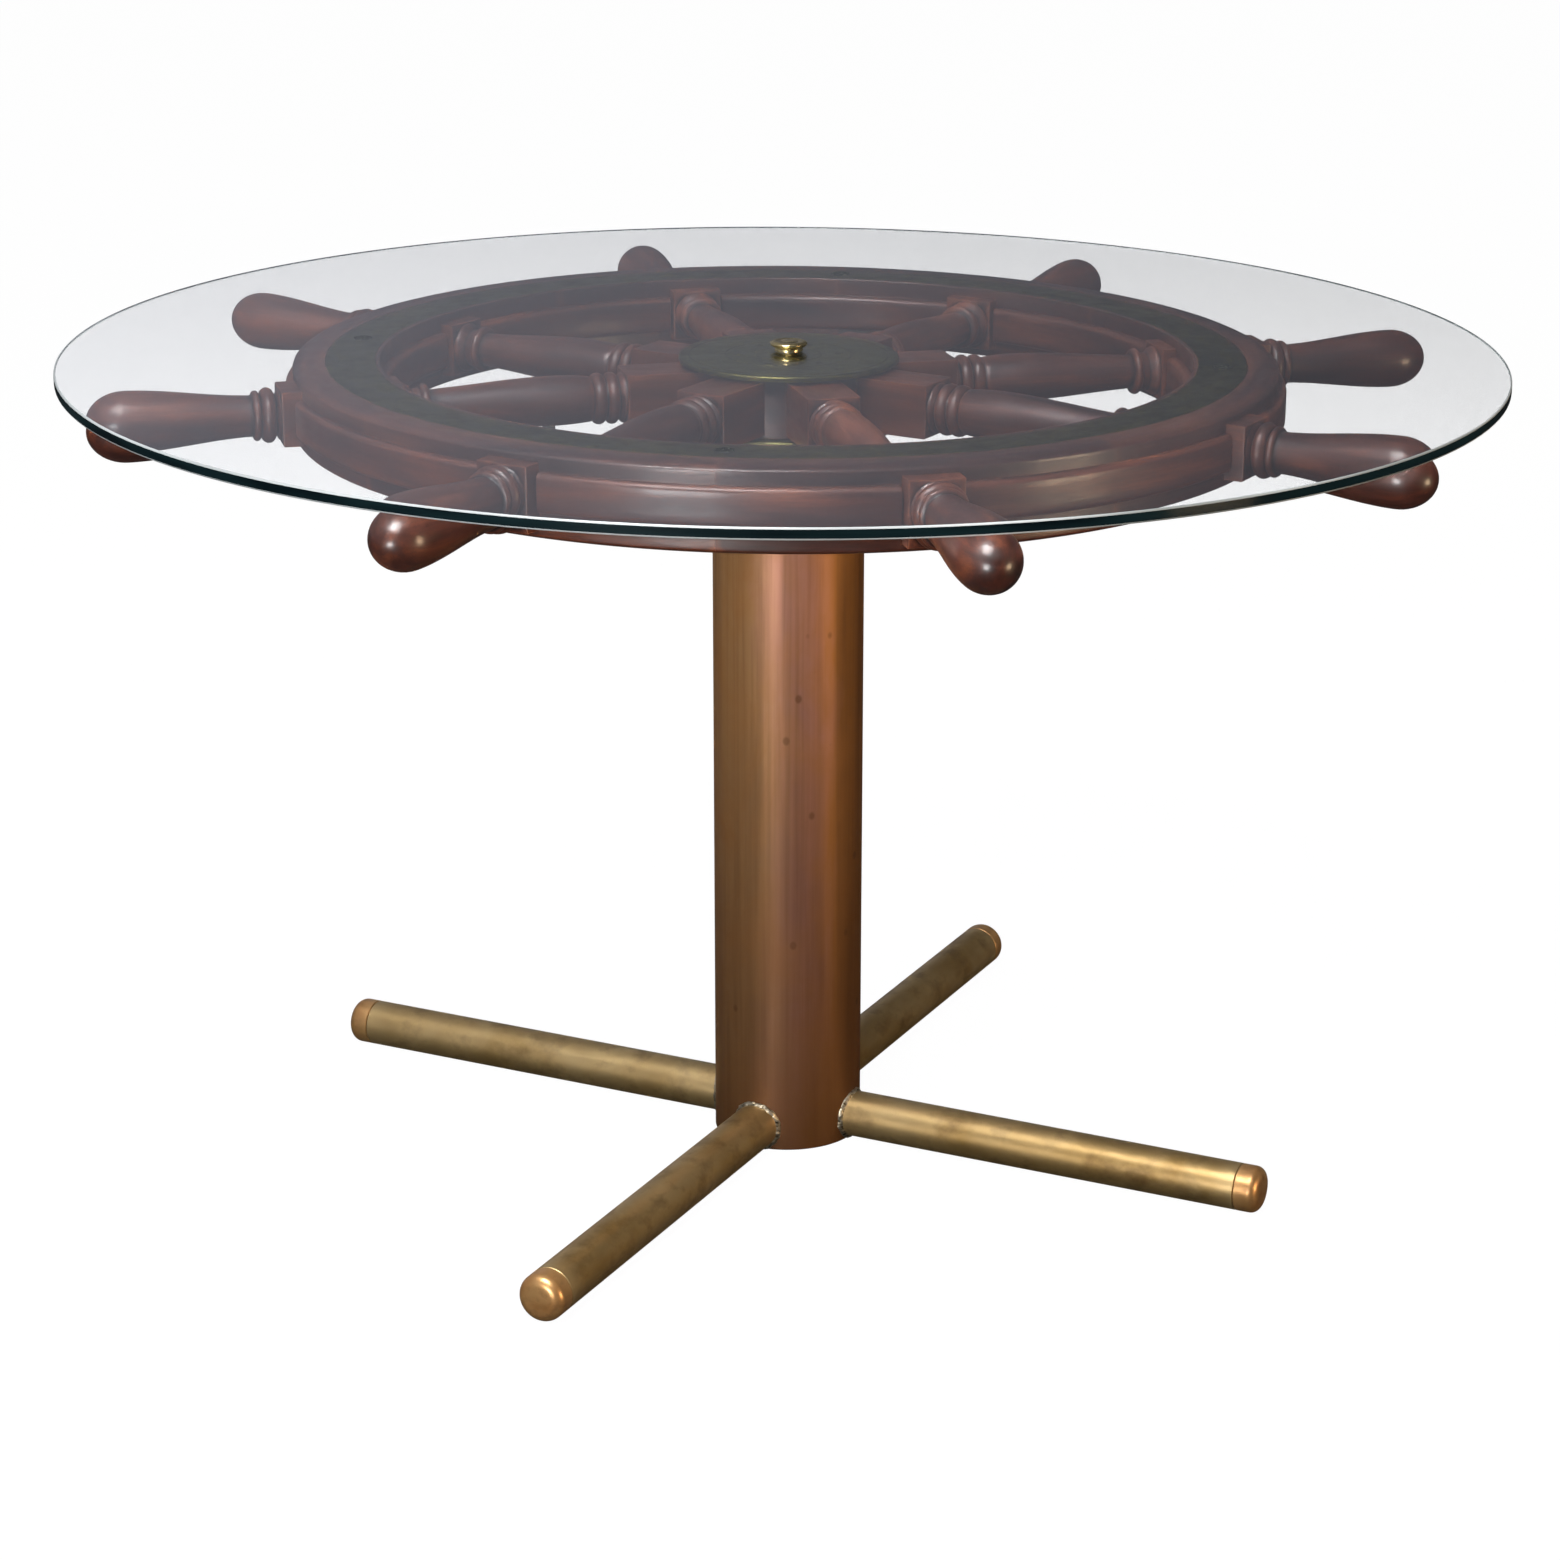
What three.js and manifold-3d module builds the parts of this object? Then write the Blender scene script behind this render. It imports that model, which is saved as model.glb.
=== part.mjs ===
// Pedestal table made from an eight-spoke ship's wheel.
// A round glass top lies on a mahogany wheel with brass inlay. The wheel turns on a spindle that is
// clamped in the head of a thick tube column, and the column stands on four horizontal tube legs.
// Millimetres, +Z up. The origin is on the floor, on the axis of the column.
import * as THREE from "three";
import { mergeVertices } from "three/addons/utils/BufferGeometryUtils.js";
import Module from "manifold-3d";

const wasm = await Module();
wasm.setup();

// ---------------------------------------------------------------------------------------------
// Driving dimensions
// ---------------------------------------------------------------------------------------------

const TABLE_HEIGHT = 760; // floor to the top of the glass
const FIT_GAP = 0.3; // between a piece and the neighbour that it is let into

// Glass top
const GLASS_RADIUS = 650;
const GLASS_THICKNESS = 10;
const GLASS_ARRIS = 1.5; // polished bevel on both edges
const GLASS_HOLE_RADIUS = 9; // drilled in the middle for the centre bolt
const GLASS_SEAT_ROOM = 3; // flat kept for the bolt, wider than its head
const PAD_COUNT = 4;
const PAD_RADIUS = 9;
const PAD_THICKNESS = 1;
const PAD_BEARING = 22.5; // degrees from the first spoke to the first pad

// Wheel rim, a stack of three wooden layers
const SPOKE_COUNT = 8;
const SPOKE_BEARING = -30; // degrees from +X to the first spoke
const FELLOE_INNER_RADIUS = 358;
const FELLOE_OUTER_RADIUS = 451;
const FELLOE_CHAMFER = 5;
const FACING_THICKNESS = 16;
const FACING_INNER_STEP = 9; // felloes stand inside the facings
const FACING_OUTER_STEP = 7; // felloes stand outside the facings
const FACING_SHOULDER = 5; // drop of the rounded outer shoulder
const FACING_SHOULDER_RUN = 14;

// Brass ring let into the top facing
const RING_INSET = 4; // from the inner edge of the facing
const RING_WIDTH = 44;
const RING_THICKNESS = 3;

// Spokes, each turned from one square billet with its handle
const BLOCK_SIDE = 48; // square left on the billet at the rim and at the hub
const BLOCK_HOUSING = 7; // how deep a block is let into each facing
const RIM_BLOCK_INNER_STEP = 5; // blocks stand inside the felloes
const RIM_BLOCK_OUTER_STEP = 10; // blocks stand outside the felloes
const HUB_BLOCK_GAP = 1.5; // between the inner corners of two neighbouring hub blocks, each side
const HUB_BLOCK_END = 154;
const HANDLE_LENGTH = 166; // from the rim block to the tip of the handle
const SPOKE_BELLY_RADIUS = 22;
const SPOKE_THROAT_RADIUS = 15.5;
const HANDLE_NECK_RADIUS = 18;
const HANDLE_BULB_RADIUS = 27;

// Hub
const NAVE_RADIUS = 88;
const NAVE_CHEEK = 3; // wood left above and below the mortises
const HUB_PLATE_RADIUS = 100;
const HUB_PLATE_THICKNESS = 5;
const HUB_SCREW_COUNT = 6;
const HUB_SCREW_BEARING = 36; // degrees from the first spoke to the first screw
const HUB_SCREW_CIRCLE_RADIUS = 46;
const HUB_SCREW_RADIUS = 4;
const HUB_SCREW_DOME = 0.8;
const HUB_SCREW_LENGTH = 22;
const BUSH_WALL = 6;

// Spindle, fixed in the column head, and what holds the wheel down on it
const SPINDLE_RADIUS = 14;
const RUNNING_GAP = 0.4; // between the spindle and the bush
const WASHER_WIDTH = 12; // spindle to the edge of the washer
const WASHER_THICKNESS = 3;
const NUT_WIDTH = 8; // spindle to the corners of the nut
const NUT_HEIGHT = 10;
const THREAD_STAND_OUT = 0.5; // spindle end beyond its nut
const RECESS_ROOM = 5; // for a box spanner round the washer
const RECESS_HEADROOM = 4.2; // above the end of the spindle
const THRUST_WASHER_RADIUS = 60;
const THRUST_WASHER_THICKNESS = 4;

// Mushroom-headed bolt that holds the glass down on the hub
const BOLT_HEAD_RADIUS = 17;
const BOLT_HEAD_HEIGHT = 4.5;
const BOLT_NECK_RADIUS = 11.5;
const BOLT_NECK_HEIGHT = 4;
const BOLT_SHANK_RADIUS = 6.5;
const BOLT_REACH = 7; // shank below the top of the hub plate

// Column
const COLUMN_RADIUS = 70;
const COLUMN_WALL = 6;
const HEAD_PLATE_THICKNESS = 12;
const FOOT_PLATE_THICKNESS = 6;
const LOCK_NUT_WIDTH = 11; // spindle to the corners of the nut
const LOCK_NUT_HEIGHT = 14;

// Legs
const LEG_COUNT = 4;
const LEG_BEARING = -26; // degrees from +X to the first leg
const LEG_REACH = 488; // column axis to the tip of a leg
const LEG_RADIUS = 22;
const LEG_WALL = 3;
const LEG_CAP_LENGTH = 23;
const LEG_CAP_ROUND = 10;
const LEG_CAP_SPIGOT = 14;
const BRAZE_WIDTH = 5;
const BRAZE_FLOOR_GAP = 0.5;

// Facets
const WIDE_SEGMENTS = 64;
const HUB_SEGMENTS = 32;
const SPOKE_SEGMENTS = 12;
const LEG_SEGMENTS = 16;
const SMALL_SEGMENTS = 8;
const ARC_STEPS = 3;

// ---------------------------------------------------------------------------------------------
// Levels that follow from the sizes
// ---------------------------------------------------------------------------------------------

const glassBottom = TABLE_HEIGHT - GLASS_THICKNESS;
const rimTop = glassBottom - PAD_THICKNESS;
const felloeTop = rimTop - FACING_THICKNESS;
const felloeBottom = felloeTop - (BLOCK_SIDE - 2 * BLOCK_HOUSING);
const rimBottom = felloeBottom - FACING_THICKNESS;
const wheelMiddle = (rimTop + rimBottom) / 2;
const facingInner = FELLOE_INNER_RADIUS + FACING_INNER_STEP;
const facingOuter = FELLOE_OUTER_RADIUS - FACING_OUTER_STEP;
const ringInner = facingInner + RING_INSET;
const ringOuter = ringInner + RING_WIDTH;
const rimBlockStart = FELLOE_INNER_RADIUS - RIM_BLOCK_INNER_STEP;
const rimBlockEnd = FELLOE_OUTER_RADIUS + RIM_BLOCK_OUTER_STEP;
const spokeTip = rimBlockEnd + HANDLE_LENGTH;
const halfSpokeAngle = Math.PI / SPOKE_COUNT;
const hubBlockStart = (BLOCK_SIDE / 2) / Math.tan(halfSpokeAngle) + HUB_BLOCK_GAP / Math.sin(halfSpokeAngle);
const naveTop = wheelMiddle + BLOCK_SIDE / 2 + NAVE_CHEEK;
const naveBottom = wheelMiddle - BLOCK_SIDE / 2 - NAVE_CHEEK;
const hubPlateTop = naveTop + HUB_PLATE_THICKNESS;
const hubPlateBottom = naveBottom - HUB_PLATE_THICKNESS;
const thrustWasherTop = hubPlateBottom - FIT_GAP;
const columnTop = thrustWasherTop - THRUST_WASHER_THICKNESS;
const headPlateBottom = columnTop - HEAD_PLATE_THICKNESS;
const boreRadius = SPINDLE_RADIUS + RUNNING_GAP;
const bushRadius = boreRadius + BUSH_WALL;
const washerRadius = SPINDLE_RADIUS + WASHER_WIDTH;
const recessRadius = washerRadius + RECESS_ROOM;
const spindleTop = naveTop - RECESS_HEADROOM;
const nutBottom = spindleTop - THREAD_STAND_OUT - NUT_HEIGHT;
const washerBottom = nutBottom - WASHER_THICKNESS;
const bushTop = washerBottom - FIT_GAP;
const lockNutBottom = headPlateBottom - LOCK_NUT_HEIGHT;
const clampRadius = SPINDLE_RADIUS + FIT_GAP; // bore of every piece fixed to the spindle
const tubeInnerRadius = COLUMN_RADIUS - COLUMN_WALL;
const legTubeEnd = LEG_REACH - LEG_CAP_LENGTH;

// ---------------------------------------------------------------------------------------------
// Geometry helpers
// ---------------------------------------------------------------------------------------------

/** Revolve an outline of [radius, height] points, listed counter-clockwise, about the Z axis. */
function turned(outline, segments) {
  const points = outline.map(([radius, height]) => new THREE.Vector2(radius, height));
  const geometry = new THREE.LatheGeometry(points, segments);
  geometry.rotateX(Math.PI / 2);
  return geometry;
}

/** Revolve a closed outline that does not touch the axis. */
function turnedRing(outline, segments) {
  return turned([...outline, outline[0]], segments);
}

/** Outline points of a plain ring or tube wall. */
function ringOutline(inner, outer, bottom, top) {
  return [
    [inner, bottom],
    [outer, bottom],
    [outer, top],
    [inner, top],
  ];
}

/** A solid disc or rod about the Z axis. */
function disc(radius, bottom, top, segments) {
  return turned([[0, bottom], [radius, bottom], [radius, top], [0, top]], segments);
}

/** Points of an elliptical quarter arc, from startAngle, a quarter turn counter-clockwise. */
function quarterArc(centreRadius, centreHeight, radiusRun, heightRun, startAngle, steps = ARC_STEPS) {
  return Array.from({ length: steps + 1 }, (_, step) => {
    const angle = startAngle + (Math.PI / 2) * (step / steps);
    return [centreRadius + radiusRun * Math.cos(angle), centreHeight + heightRun * Math.sin(angle)];
  });
}

/** A box whose length runs along X from startX to endX, centred on Y and on the given height. */
function barAlongX(startX, endX, width, height, centreZ) {
  const geometry = new THREE.BoxGeometry(endX - startX, width, height);
  geometry.translate((startX + endX) / 2, 0, centreZ);
  return geometry;
}

/** A closed three.js geometry as a solid. */
function solid(geometry) {
  const bare = geometry.clone();
  bare.deleteAttribute("normal");
  bare.deleteAttribute("uv");
  const merged = mergeVertices(bare, 1e-4);
  return new wasm.Manifold(
    new wasm.Mesh({
      numProp: 3,
      vertProperties: merged.attributes.position.array,
      triVerts: new Uint32Array(merged.index.array),
    }),
  );
}

/** A solid as a three.js geometry. */
function geometryOf(body) {
  const mesh = body.getMesh();
  const geometry = new THREE.BufferGeometry();
  geometry.setAttribute("position", new THREE.BufferAttribute(mesh.vertProperties, 3));
  geometry.setIndex(new THREE.BufferAttribute(mesh.triVerts, 1));
  geometry.computeVertexNormals();
  return geometry;
}

/** A solid turned about the Z axis by an angle in radians. */
function turnedBy(geometry, angle) {
  return solid(geometry.clone().rotateZ(angle));
}

/** The first solid with each of the others cut away. */
function cut(body, tools) {
  return tools.reduce((rest, tool) => rest.subtract(tool), body);
}

/** The angles of a ring of equal pieces, in radians. */
function ringAngles(count, firstDegrees = 0) {
  const first = THREE.MathUtils.degToRad(firstDegrees);
  return Array.from({ length: count }, (_, index) => first + (2 * Math.PI * index) / count);
}

// ---------------------------------------------------------------------------------------------
// Materials
// ---------------------------------------------------------------------------------------------

const FINISHES = {
  glass: { color: 0xdfe8e6, roughness: 0.03, metalness: 0, transparent: true, opacity: 0.35 },
  clear_pad: { color: 0xe8ecec, roughness: 0.4, metalness: 0 },
  mahogany: { color: 0x5a1f12, roughness: 0.35, metalness: 0 },
  dark_mahogany: { color: 0x3b150d, roughness: 0.4, metalness: 0 },
  old_brass: { color: 0x8a7a42, roughness: 0.4, metalness: 1 },
  bright_brass: { color: 0xb89a52, roughness: 0.25, metalness: 1 },
  bronze_tube: { color: 0x7a5230, roughness: 0.4, metalness: 1 },
  brass_tube: { color: 0x80683c, roughness: 0.45, metalness: 1 },
  copper_cap: { color: 0xa8703c, roughness: 0.4, metalness: 1 },
  braze: { color: 0x6f5c3a, roughness: 0.7, metalness: 1 },
  steel: { color: 0x6b6b6b, roughness: 0.4, metalness: 1 },
};

/** A named mesh with a material of its own. */
function piece(name, geometry, finish) {
  const mesh = new THREE.Mesh(geometry, new THREE.MeshStandardMaterial(FINISHES[finish]));
  mesh.name = name;
  return mesh;
}

/** Add equal copies of a piece to a group, numbered from 1, evenly round the Z axis. */
function addRing(group, name, geometry, finish, count, firstDegrees = 0) {
  ringAngles(count, firstDegrees).forEach((angle, index) => {
    const copy = piece(`${name}_${index + 1}`, geometry, finish);
    copy.rotation.z = angle;
    group.add(copy);
  });
}

// ---------------------------------------------------------------------------------------------
// Glass top
// ---------------------------------------------------------------------------------------------

/** Round glass plate with polished edges and a hole in the middle. */
function glassTop() {
  const edge = GLASS_RADIUS - GLASS_ARRIS;
  const hole = GLASS_HOLE_RADIUS + GLASS_ARRIS;
  const seat = BOLT_HEAD_RADIUS + GLASS_SEAT_ROOM;
  return turnedRing(
    [
      [hole, glassBottom],
      [edge, glassBottom],
      [GLASS_RADIUS, glassBottom + GLASS_ARRIS],
      [GLASS_RADIUS, TABLE_HEIGHT - GLASS_ARRIS],
      [edge, TABLE_HEIGHT],
      [seat, TABLE_HEIGHT],
      [hole, TABLE_HEIGHT],
      [GLASS_HOLE_RADIUS, TABLE_HEIGHT - GLASS_ARRIS],
      [GLASS_HOLE_RADIUS, glassBottom + GLASS_ARRIS],
    ],
    WIDE_SEGMENTS,
  );
}

/** Clear bumper between the brass ring and the glass. */
function glassPad() {
  const pad = disc(PAD_RADIUS, rimTop, glassBottom, SMALL_SEGMENTS);
  pad.translate((ringInner + ringOuter) / 2, 0, 0);
  return pad;
}

/** Mushroom-headed bolt through the glass into the tapped hub plate. */
function centreBolt() {
  const neckTop = TABLE_HEIGHT + BOLT_NECK_HEIGHT;
  const headTop = neckTop + BOLT_HEAD_HEIGHT;
  const round = BOLT_HEAD_HEIGHT / 2;
  const tip = hubPlateTop - BOLT_REACH;
  return turned(
    [
      [0, tip],
      [BOLT_SHANK_RADIUS, tip],
      [BOLT_SHANK_RADIUS, TABLE_HEIGHT],
      [BOLT_NECK_RADIUS, TABLE_HEIGHT],
      [BOLT_NECK_RADIUS, neckTop],
      [BOLT_HEAD_RADIUS, neckTop],
      ...quarterArc(BOLT_HEAD_RADIUS - round, headTop - round, round, round, 0),
      [0, headTop],
    ],
    LEG_SEGMENTS,
  );
}

function buildTop() {
  const top = new THREE.Group();
  top.add(piece("glass_top", glassTop(), "glass"));
  top.add(piece("centre_bolt", centreBolt(), "bright_brass"));
  return top;
}

// ---------------------------------------------------------------------------------------------
// Wheel rim
// ---------------------------------------------------------------------------------------------

/** One square slot for a spoke block, along +X, through the whole width of the rim. */
function blockSlot() {
  const side = BLOCK_SIDE + 2 * FIT_GAP;
  return barAlongX(rimBlockStart - BLOCK_SIDE, rimBlockEnd + BLOCK_SIDE, side, side, wheelMiddle);
}

/** Facing outline, with the rounded shoulder outside, for the upper layer. */
function upperFacingOutline() {
  const shoulderRadius = facingOuter - FACING_SHOULDER_RUN;
  const shoulderHeight = rimTop - FACING_SHOULDER;
  return [
    [facingInner, felloeTop],
    [facingOuter, felloeTop],
    ...quarterArc(shoulderRadius, shoulderHeight, FACING_SHOULDER_RUN, FACING_SHOULDER, 0),
    [ringOuter + FIT_GAP, rimTop],
    [ringOuter + FIT_GAP, rimTop - RING_THICKNESS],
    [ringInner - FIT_GAP, rimTop - RING_THICKNESS],
    [ringInner - FIT_GAP, rimTop],
    [facingInner, rimTop],
  ];
}

/** The lower facing is the upper one turned over, without the groove for the brass ring. */
function lowerFacingOutline() {
  const shoulderRadius = facingOuter - FACING_SHOULDER_RUN;
  const shoulderHeight = rimBottom + FACING_SHOULDER;
  return [
    [facingInner, rimBottom],
    ...quarterArc(shoulderRadius, shoulderHeight, FACING_SHOULDER_RUN, FACING_SHOULDER, -Math.PI / 2),
    [facingOuter, felloeBottom],
    [facingInner, felloeBottom],
  ];
}

function facing(outline) {
  const slots = ringAngles(SPOKE_COUNT).map((angle) => turnedBy(blockSlot(), angle));
  return geometryOf(cut(solid(turnedRing(outline, WIDE_SEGMENTS)), slots));
}

function brassRing() {
  const bottom = rimTop - RING_THICKNESS;
  return turnedRing(ringOutline(ringInner, ringOuter, bottom, rimTop), WIDE_SEGMENTS);
}

/** One felloe, from the slot at bearing 0 to the next one. */
function felloe() {
  const chamfer = FELLOE_CHAMFER;
  const whole = turnedRing(
    [
      [FELLOE_INNER_RADIUS + chamfer, felloeBottom],
      [FELLOE_OUTER_RADIUS - chamfer, felloeBottom],
      [FELLOE_OUTER_RADIUS, felloeBottom + chamfer],
      [FELLOE_OUTER_RADIUS, felloeTop - chamfer],
      [FELLOE_OUTER_RADIUS - chamfer, felloeTop],
      [FELLOE_INNER_RADIUS + chamfer, felloeTop],
      [FELLOE_INNER_RADIUS, felloeTop - chamfer],
      [FELLOE_INNER_RADIUS, felloeBottom + chamfer],
    ],
    WIDE_SEGMENTS,
  );
  const step = (2 * Math.PI) / SPOKE_COUNT;
  const reach = 2 * FELLOE_OUTER_RADIUS;
  const wedge = new THREE.Shape();
  wedge.moveTo(0, 0);
  wedge.lineTo(reach, 0);
  wedge.lineTo(reach * Math.cos(step), reach * Math.sin(step));
  const sector = new THREE.ExtrudeGeometry(wedge, { depth: TABLE_HEIGHT, bevelEnabled: false });
  const slots = [0, step].map((angle) => turnedBy(blockSlot(), angle));
  return geometryOf(cut(solid(whole).intersect(solid(sector)), slots));
}

// ---------------------------------------------------------------------------------------------
// Spokes
// ---------------------------------------------------------------------------------------------

/** Outline of the turned billet from the hub block to the tip of the handle: [radius, distance]. */
function spokeOutline() {
  const half = BLOCK_SIDE / 2;
  const collars = HUB_BLOCK_END;
  const innerBeads = rimBlockStart;
  const outerBeads = rimBlockEnd;
  const tip = spokeTip;
  const bulbCentre = tip - HANDLE_BULB_RADIUS;
  return [
    [0, collars - 4],
    [half - 2, collars - 4],
    [half - 5, collars + 4],
    [half - 1, collars + 9],
    [half - 1, collars + 14],
    [half - 5, collars + 18],
    [half - 1, collars + 23],
    [half - 1, collars + 28],
    [SPOKE_BELLY_RADIUS - 1, collars + 36],
    [SPOKE_BELLY_RADIUS, collars + 60],
    [SPOKE_THROAT_RADIUS, innerBeads - 25],
    [half - 4, innerBeads - 19],
    [half - 7, innerBeads - 11],
    [half - 2, innerBeads - 4],
    [half - 2, outerBeads + 1],
    [half - 6, outerBeads + 4],
    [half, outerBeads + 8],
    [half, outerBeads + 15],
    [HANDLE_NECK_RADIUS, outerBeads + 22],
    [HANDLE_NECK_RADIUS + 1.5, tip - 112],
    [HANDLE_BULB_RADIUS - 2, tip - 58],
    ...quarterArc(0, bulbCentre, HANDLE_BULB_RADIUS, HANDLE_BULB_RADIUS, 0),
  ];
}

/** One spoke along +X: two squares of the billet with the turned lengths between and beyond. */
function spoke() {
  const wood = turned(spokeOutline(), SPOKE_SEGMENTS);
  wood.rotateY(Math.PI / 2);
  wood.translate(0, 0, wheelMiddle);
  const hubBlock = barAlongX(hubBlockStart, HUB_BLOCK_END, BLOCK_SIDE, BLOCK_SIDE, wheelMiddle);
  const rimBlock = barAlongX(rimBlockStart, rimBlockEnd, BLOCK_SIDE, BLOCK_SIDE, wheelMiddle);
  return geometryOf(solid(wood).add(solid(hubBlock)).add(solid(rimBlock)));
}

// ---------------------------------------------------------------------------------------------
// Hub
// ---------------------------------------------------------------------------------------------

/** Clearance hole for a hub screw, through the upper plate and into the nave, at a bearing. */
function hubScrewHole(bearing) {
  const radius = HUB_SCREW_RADIUS + FIT_GAP;
  const bottom = hubPlateTop - HUB_SCREW_LENGTH - FIT_GAP;
  const hole = disc(radius, bottom, hubPlateTop + FIT_GAP, SMALL_SEGMENTS);
  hole.translate(HUB_SCREW_CIRCLE_RADIUS, 0, 0);
  return turnedBy(hole, bearing);
}

/** Wooden nave with a square mortise for each spoke, a stepped bore and the screw holes. */
function nave() {
  const bore = bushRadius + FIT_GAP;
  const outline = [
    [bore, naveBottom],
    [NAVE_RADIUS, naveBottom],
    [NAVE_RADIUS, naveTop],
    [recessRadius, naveTop],
    [recessRadius, bushTop],
    [bore, bushTop],
  ];
  const side = BLOCK_SIDE + 2 * FIT_GAP;
  const mortise = barAlongX(hubBlockStart - FIT_GAP, NAVE_RADIUS + side, side, side, wheelMiddle);
  const mortises = ringAngles(SPOKE_COUNT).map((angle) => turnedBy(mortise, angle));
  const screwHoles = ringAngles(HUB_SCREW_COUNT, HUB_SCREW_BEARING).map(hubScrewHole);
  return geometryOf(cut(solid(turnedRing(outline, HUB_SEGMENTS)), [...mortises, ...screwHoles]));
}

/** Upper brass plate, tapped in the middle for the centre bolt. */
function upperHubPlate() {
  const tapped = BOLT_SHANK_RADIUS + FIT_GAP;
  const plate = turnedRing(ringOutline(tapped, HUB_PLATE_RADIUS, naveTop, hubPlateTop), HUB_SEGMENTS);
  const screwHoles = ringAngles(HUB_SCREW_COUNT, HUB_SCREW_BEARING).map(hubScrewHole);
  return geometryOf(cut(solid(plate), screwHoles));
}

/** Lower brass plate, round the bush. */
function lowerHubPlate() {
  const inner = bushRadius + FIT_GAP;
  return turnedRing(ringOutline(inner, HUB_PLATE_RADIUS, hubPlateBottom, naveBottom), HUB_SEGMENTS);
}

/** Wood screw with a low domed head let into the upper plate. */
function hubScrew() {
  const shank = HUB_SCREW_RADIUS / 2;
  const tip = hubPlateTop - HUB_SCREW_LENGTH;
  const underHead = hubPlateTop - HUB_PLATE_THICKNESS / 2;
  const screw = turned(
    [
      [0, tip],
      [shank, tip + shank],
      [shank, underHead],
      [HUB_SCREW_RADIUS, underHead],
      [HUB_SCREW_RADIUS, hubPlateTop],
      [0, hubPlateTop + HUB_SCREW_DOME],
    ],
    SMALL_SEGMENTS,
  );
  screw.translate(HUB_SCREW_CIRCLE_RADIUS, 0, 0);
  return screw;
}

/** Brass bush that turns on the spindle. */
function bush() {
  return turnedRing(ringOutline(boreRadius, bushRadius, hubPlateBottom, bushTop), HUB_SEGMENTS);
}

// ---------------------------------------------------------------------------------------------
// The wheel put together
// ---------------------------------------------------------------------------------------------

function buildWheel() {
  const wheel = new THREE.Group();
  wheel.rotation.z = THREE.MathUtils.degToRad(SPOKE_BEARING);
  wheel.add(piece("facing_top", facing(upperFacingOutline()), "dark_mahogany"));
  wheel.add(piece("facing_bottom", facing(lowerFacingOutline()), "dark_mahogany"));
  wheel.add(piece("brass_ring", brassRing(), "old_brass"));
  addRing(wheel, "felloe", felloe(), "mahogany", SPOKE_COUNT);
  addRing(wheel, "spoke", spoke(), "mahogany", SPOKE_COUNT);
  addRing(wheel, "glass_pad", glassPad(), "clear_pad", PAD_COUNT, PAD_BEARING);
  wheel.add(piece("nave", nave(), "dark_mahogany"));
  wheel.add(piece("hub_plate_top", upperHubPlate(), "old_brass"));
  wheel.add(piece("hub_plate_bottom", lowerHubPlate(), "old_brass"));
  wheel.add(piece("hub_bush", bush(), "bright_brass"));
  addRing(wheel, "hub_screw", hubScrew(), "bright_brass", HUB_SCREW_COUNT, HUB_SCREW_BEARING);
  return wheel;
}

// ---------------------------------------------------------------------------------------------
// Spindle and column
// ---------------------------------------------------------------------------------------------

/** A hexagon nut on the spindle, wider than it by width at the corners. */
function hexNut(width, bottom, top) {
  return geometryOf(solid(disc(SPINDLE_RADIUS + width, bottom, top, 6)).subtract(spindleHole()));
}

/** A clearance hole for the spindle through anything that is fixed on it. */
function spindleHole() {
  return solid(disc(clampRadius, 0, TABLE_HEIGHT, LEG_SEGMENTS));
}

function buildColumn() {
  const column = new THREE.Group();
  const tube = turnedRing(ringOutline(tubeInnerRadius, COLUMN_RADIUS, 0, columnTop), HUB_SEGMENTS);
  const plateRadius = tubeInnerRadius - FIT_GAP;
  const headPlate = turnedRing(
    ringOutline(clampRadius, plateRadius, headPlateBottom, columnTop),
    HUB_SEGMENTS,
  );
  const thrustWasher = turnedRing(
    ringOutline(clampRadius, THRUST_WASHER_RADIUS, columnTop, thrustWasherTop),
    HUB_SEGMENTS,
  );
  const washer = turnedRing(
    ringOutline(clampRadius, washerRadius, washerBottom, nutBottom),
    LEG_SEGMENTS,
  );
  const spindleBottom = lockNutBottom - THREAD_STAND_OUT;
  column.add(piece("column_tube", tube, "bronze_tube"));
  column.add(piece("column_head_plate", headPlate, "steel"));
  column.add(piece("column_foot_plate", disc(plateRadius, 0, FOOT_PLATE_THICKNESS, HUB_SEGMENTS), "steel"));
  column.add(piece("spindle", disc(SPINDLE_RADIUS, spindleBottom, spindleTop, LEG_SEGMENTS), "steel"));
  column.add(piece("spindle_lock_nut", hexNut(LOCK_NUT_WIDTH, lockNutBottom, headPlateBottom), "steel"));
  column.add(piece("thrust_washer", thrustWasher, "bright_brass"));
  column.add(piece("spindle_washer", washer, "steel"));
  column.add(piece("spindle_nut", hexNut(NUT_WIDTH, nutBottom, nutBottom + NUT_HEIGHT), "steel"));
  return column;
}

// ---------------------------------------------------------------------------------------------
// Legs
// ---------------------------------------------------------------------------------------------

/** A closed tube wall along +X with its axis at leg height. */
function tubeAlongX(inner, outer, startX, endX) {
  const wall = turnedRing(ringOutline(inner, outer, startX, endX), LEG_SEGMENTS);
  wall.rotateY(Math.PI / 2);
  wall.translate(0, 0, LEG_RADIUS);
  return solid(wall);
}

/** A solid round bar along the Z axis of the column. */
function columnBar(radius) {
  return solid(disc(radius, -LEG_RADIUS, 4 * LEG_RADIUS, HUB_SEGMENTS));
}

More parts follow.
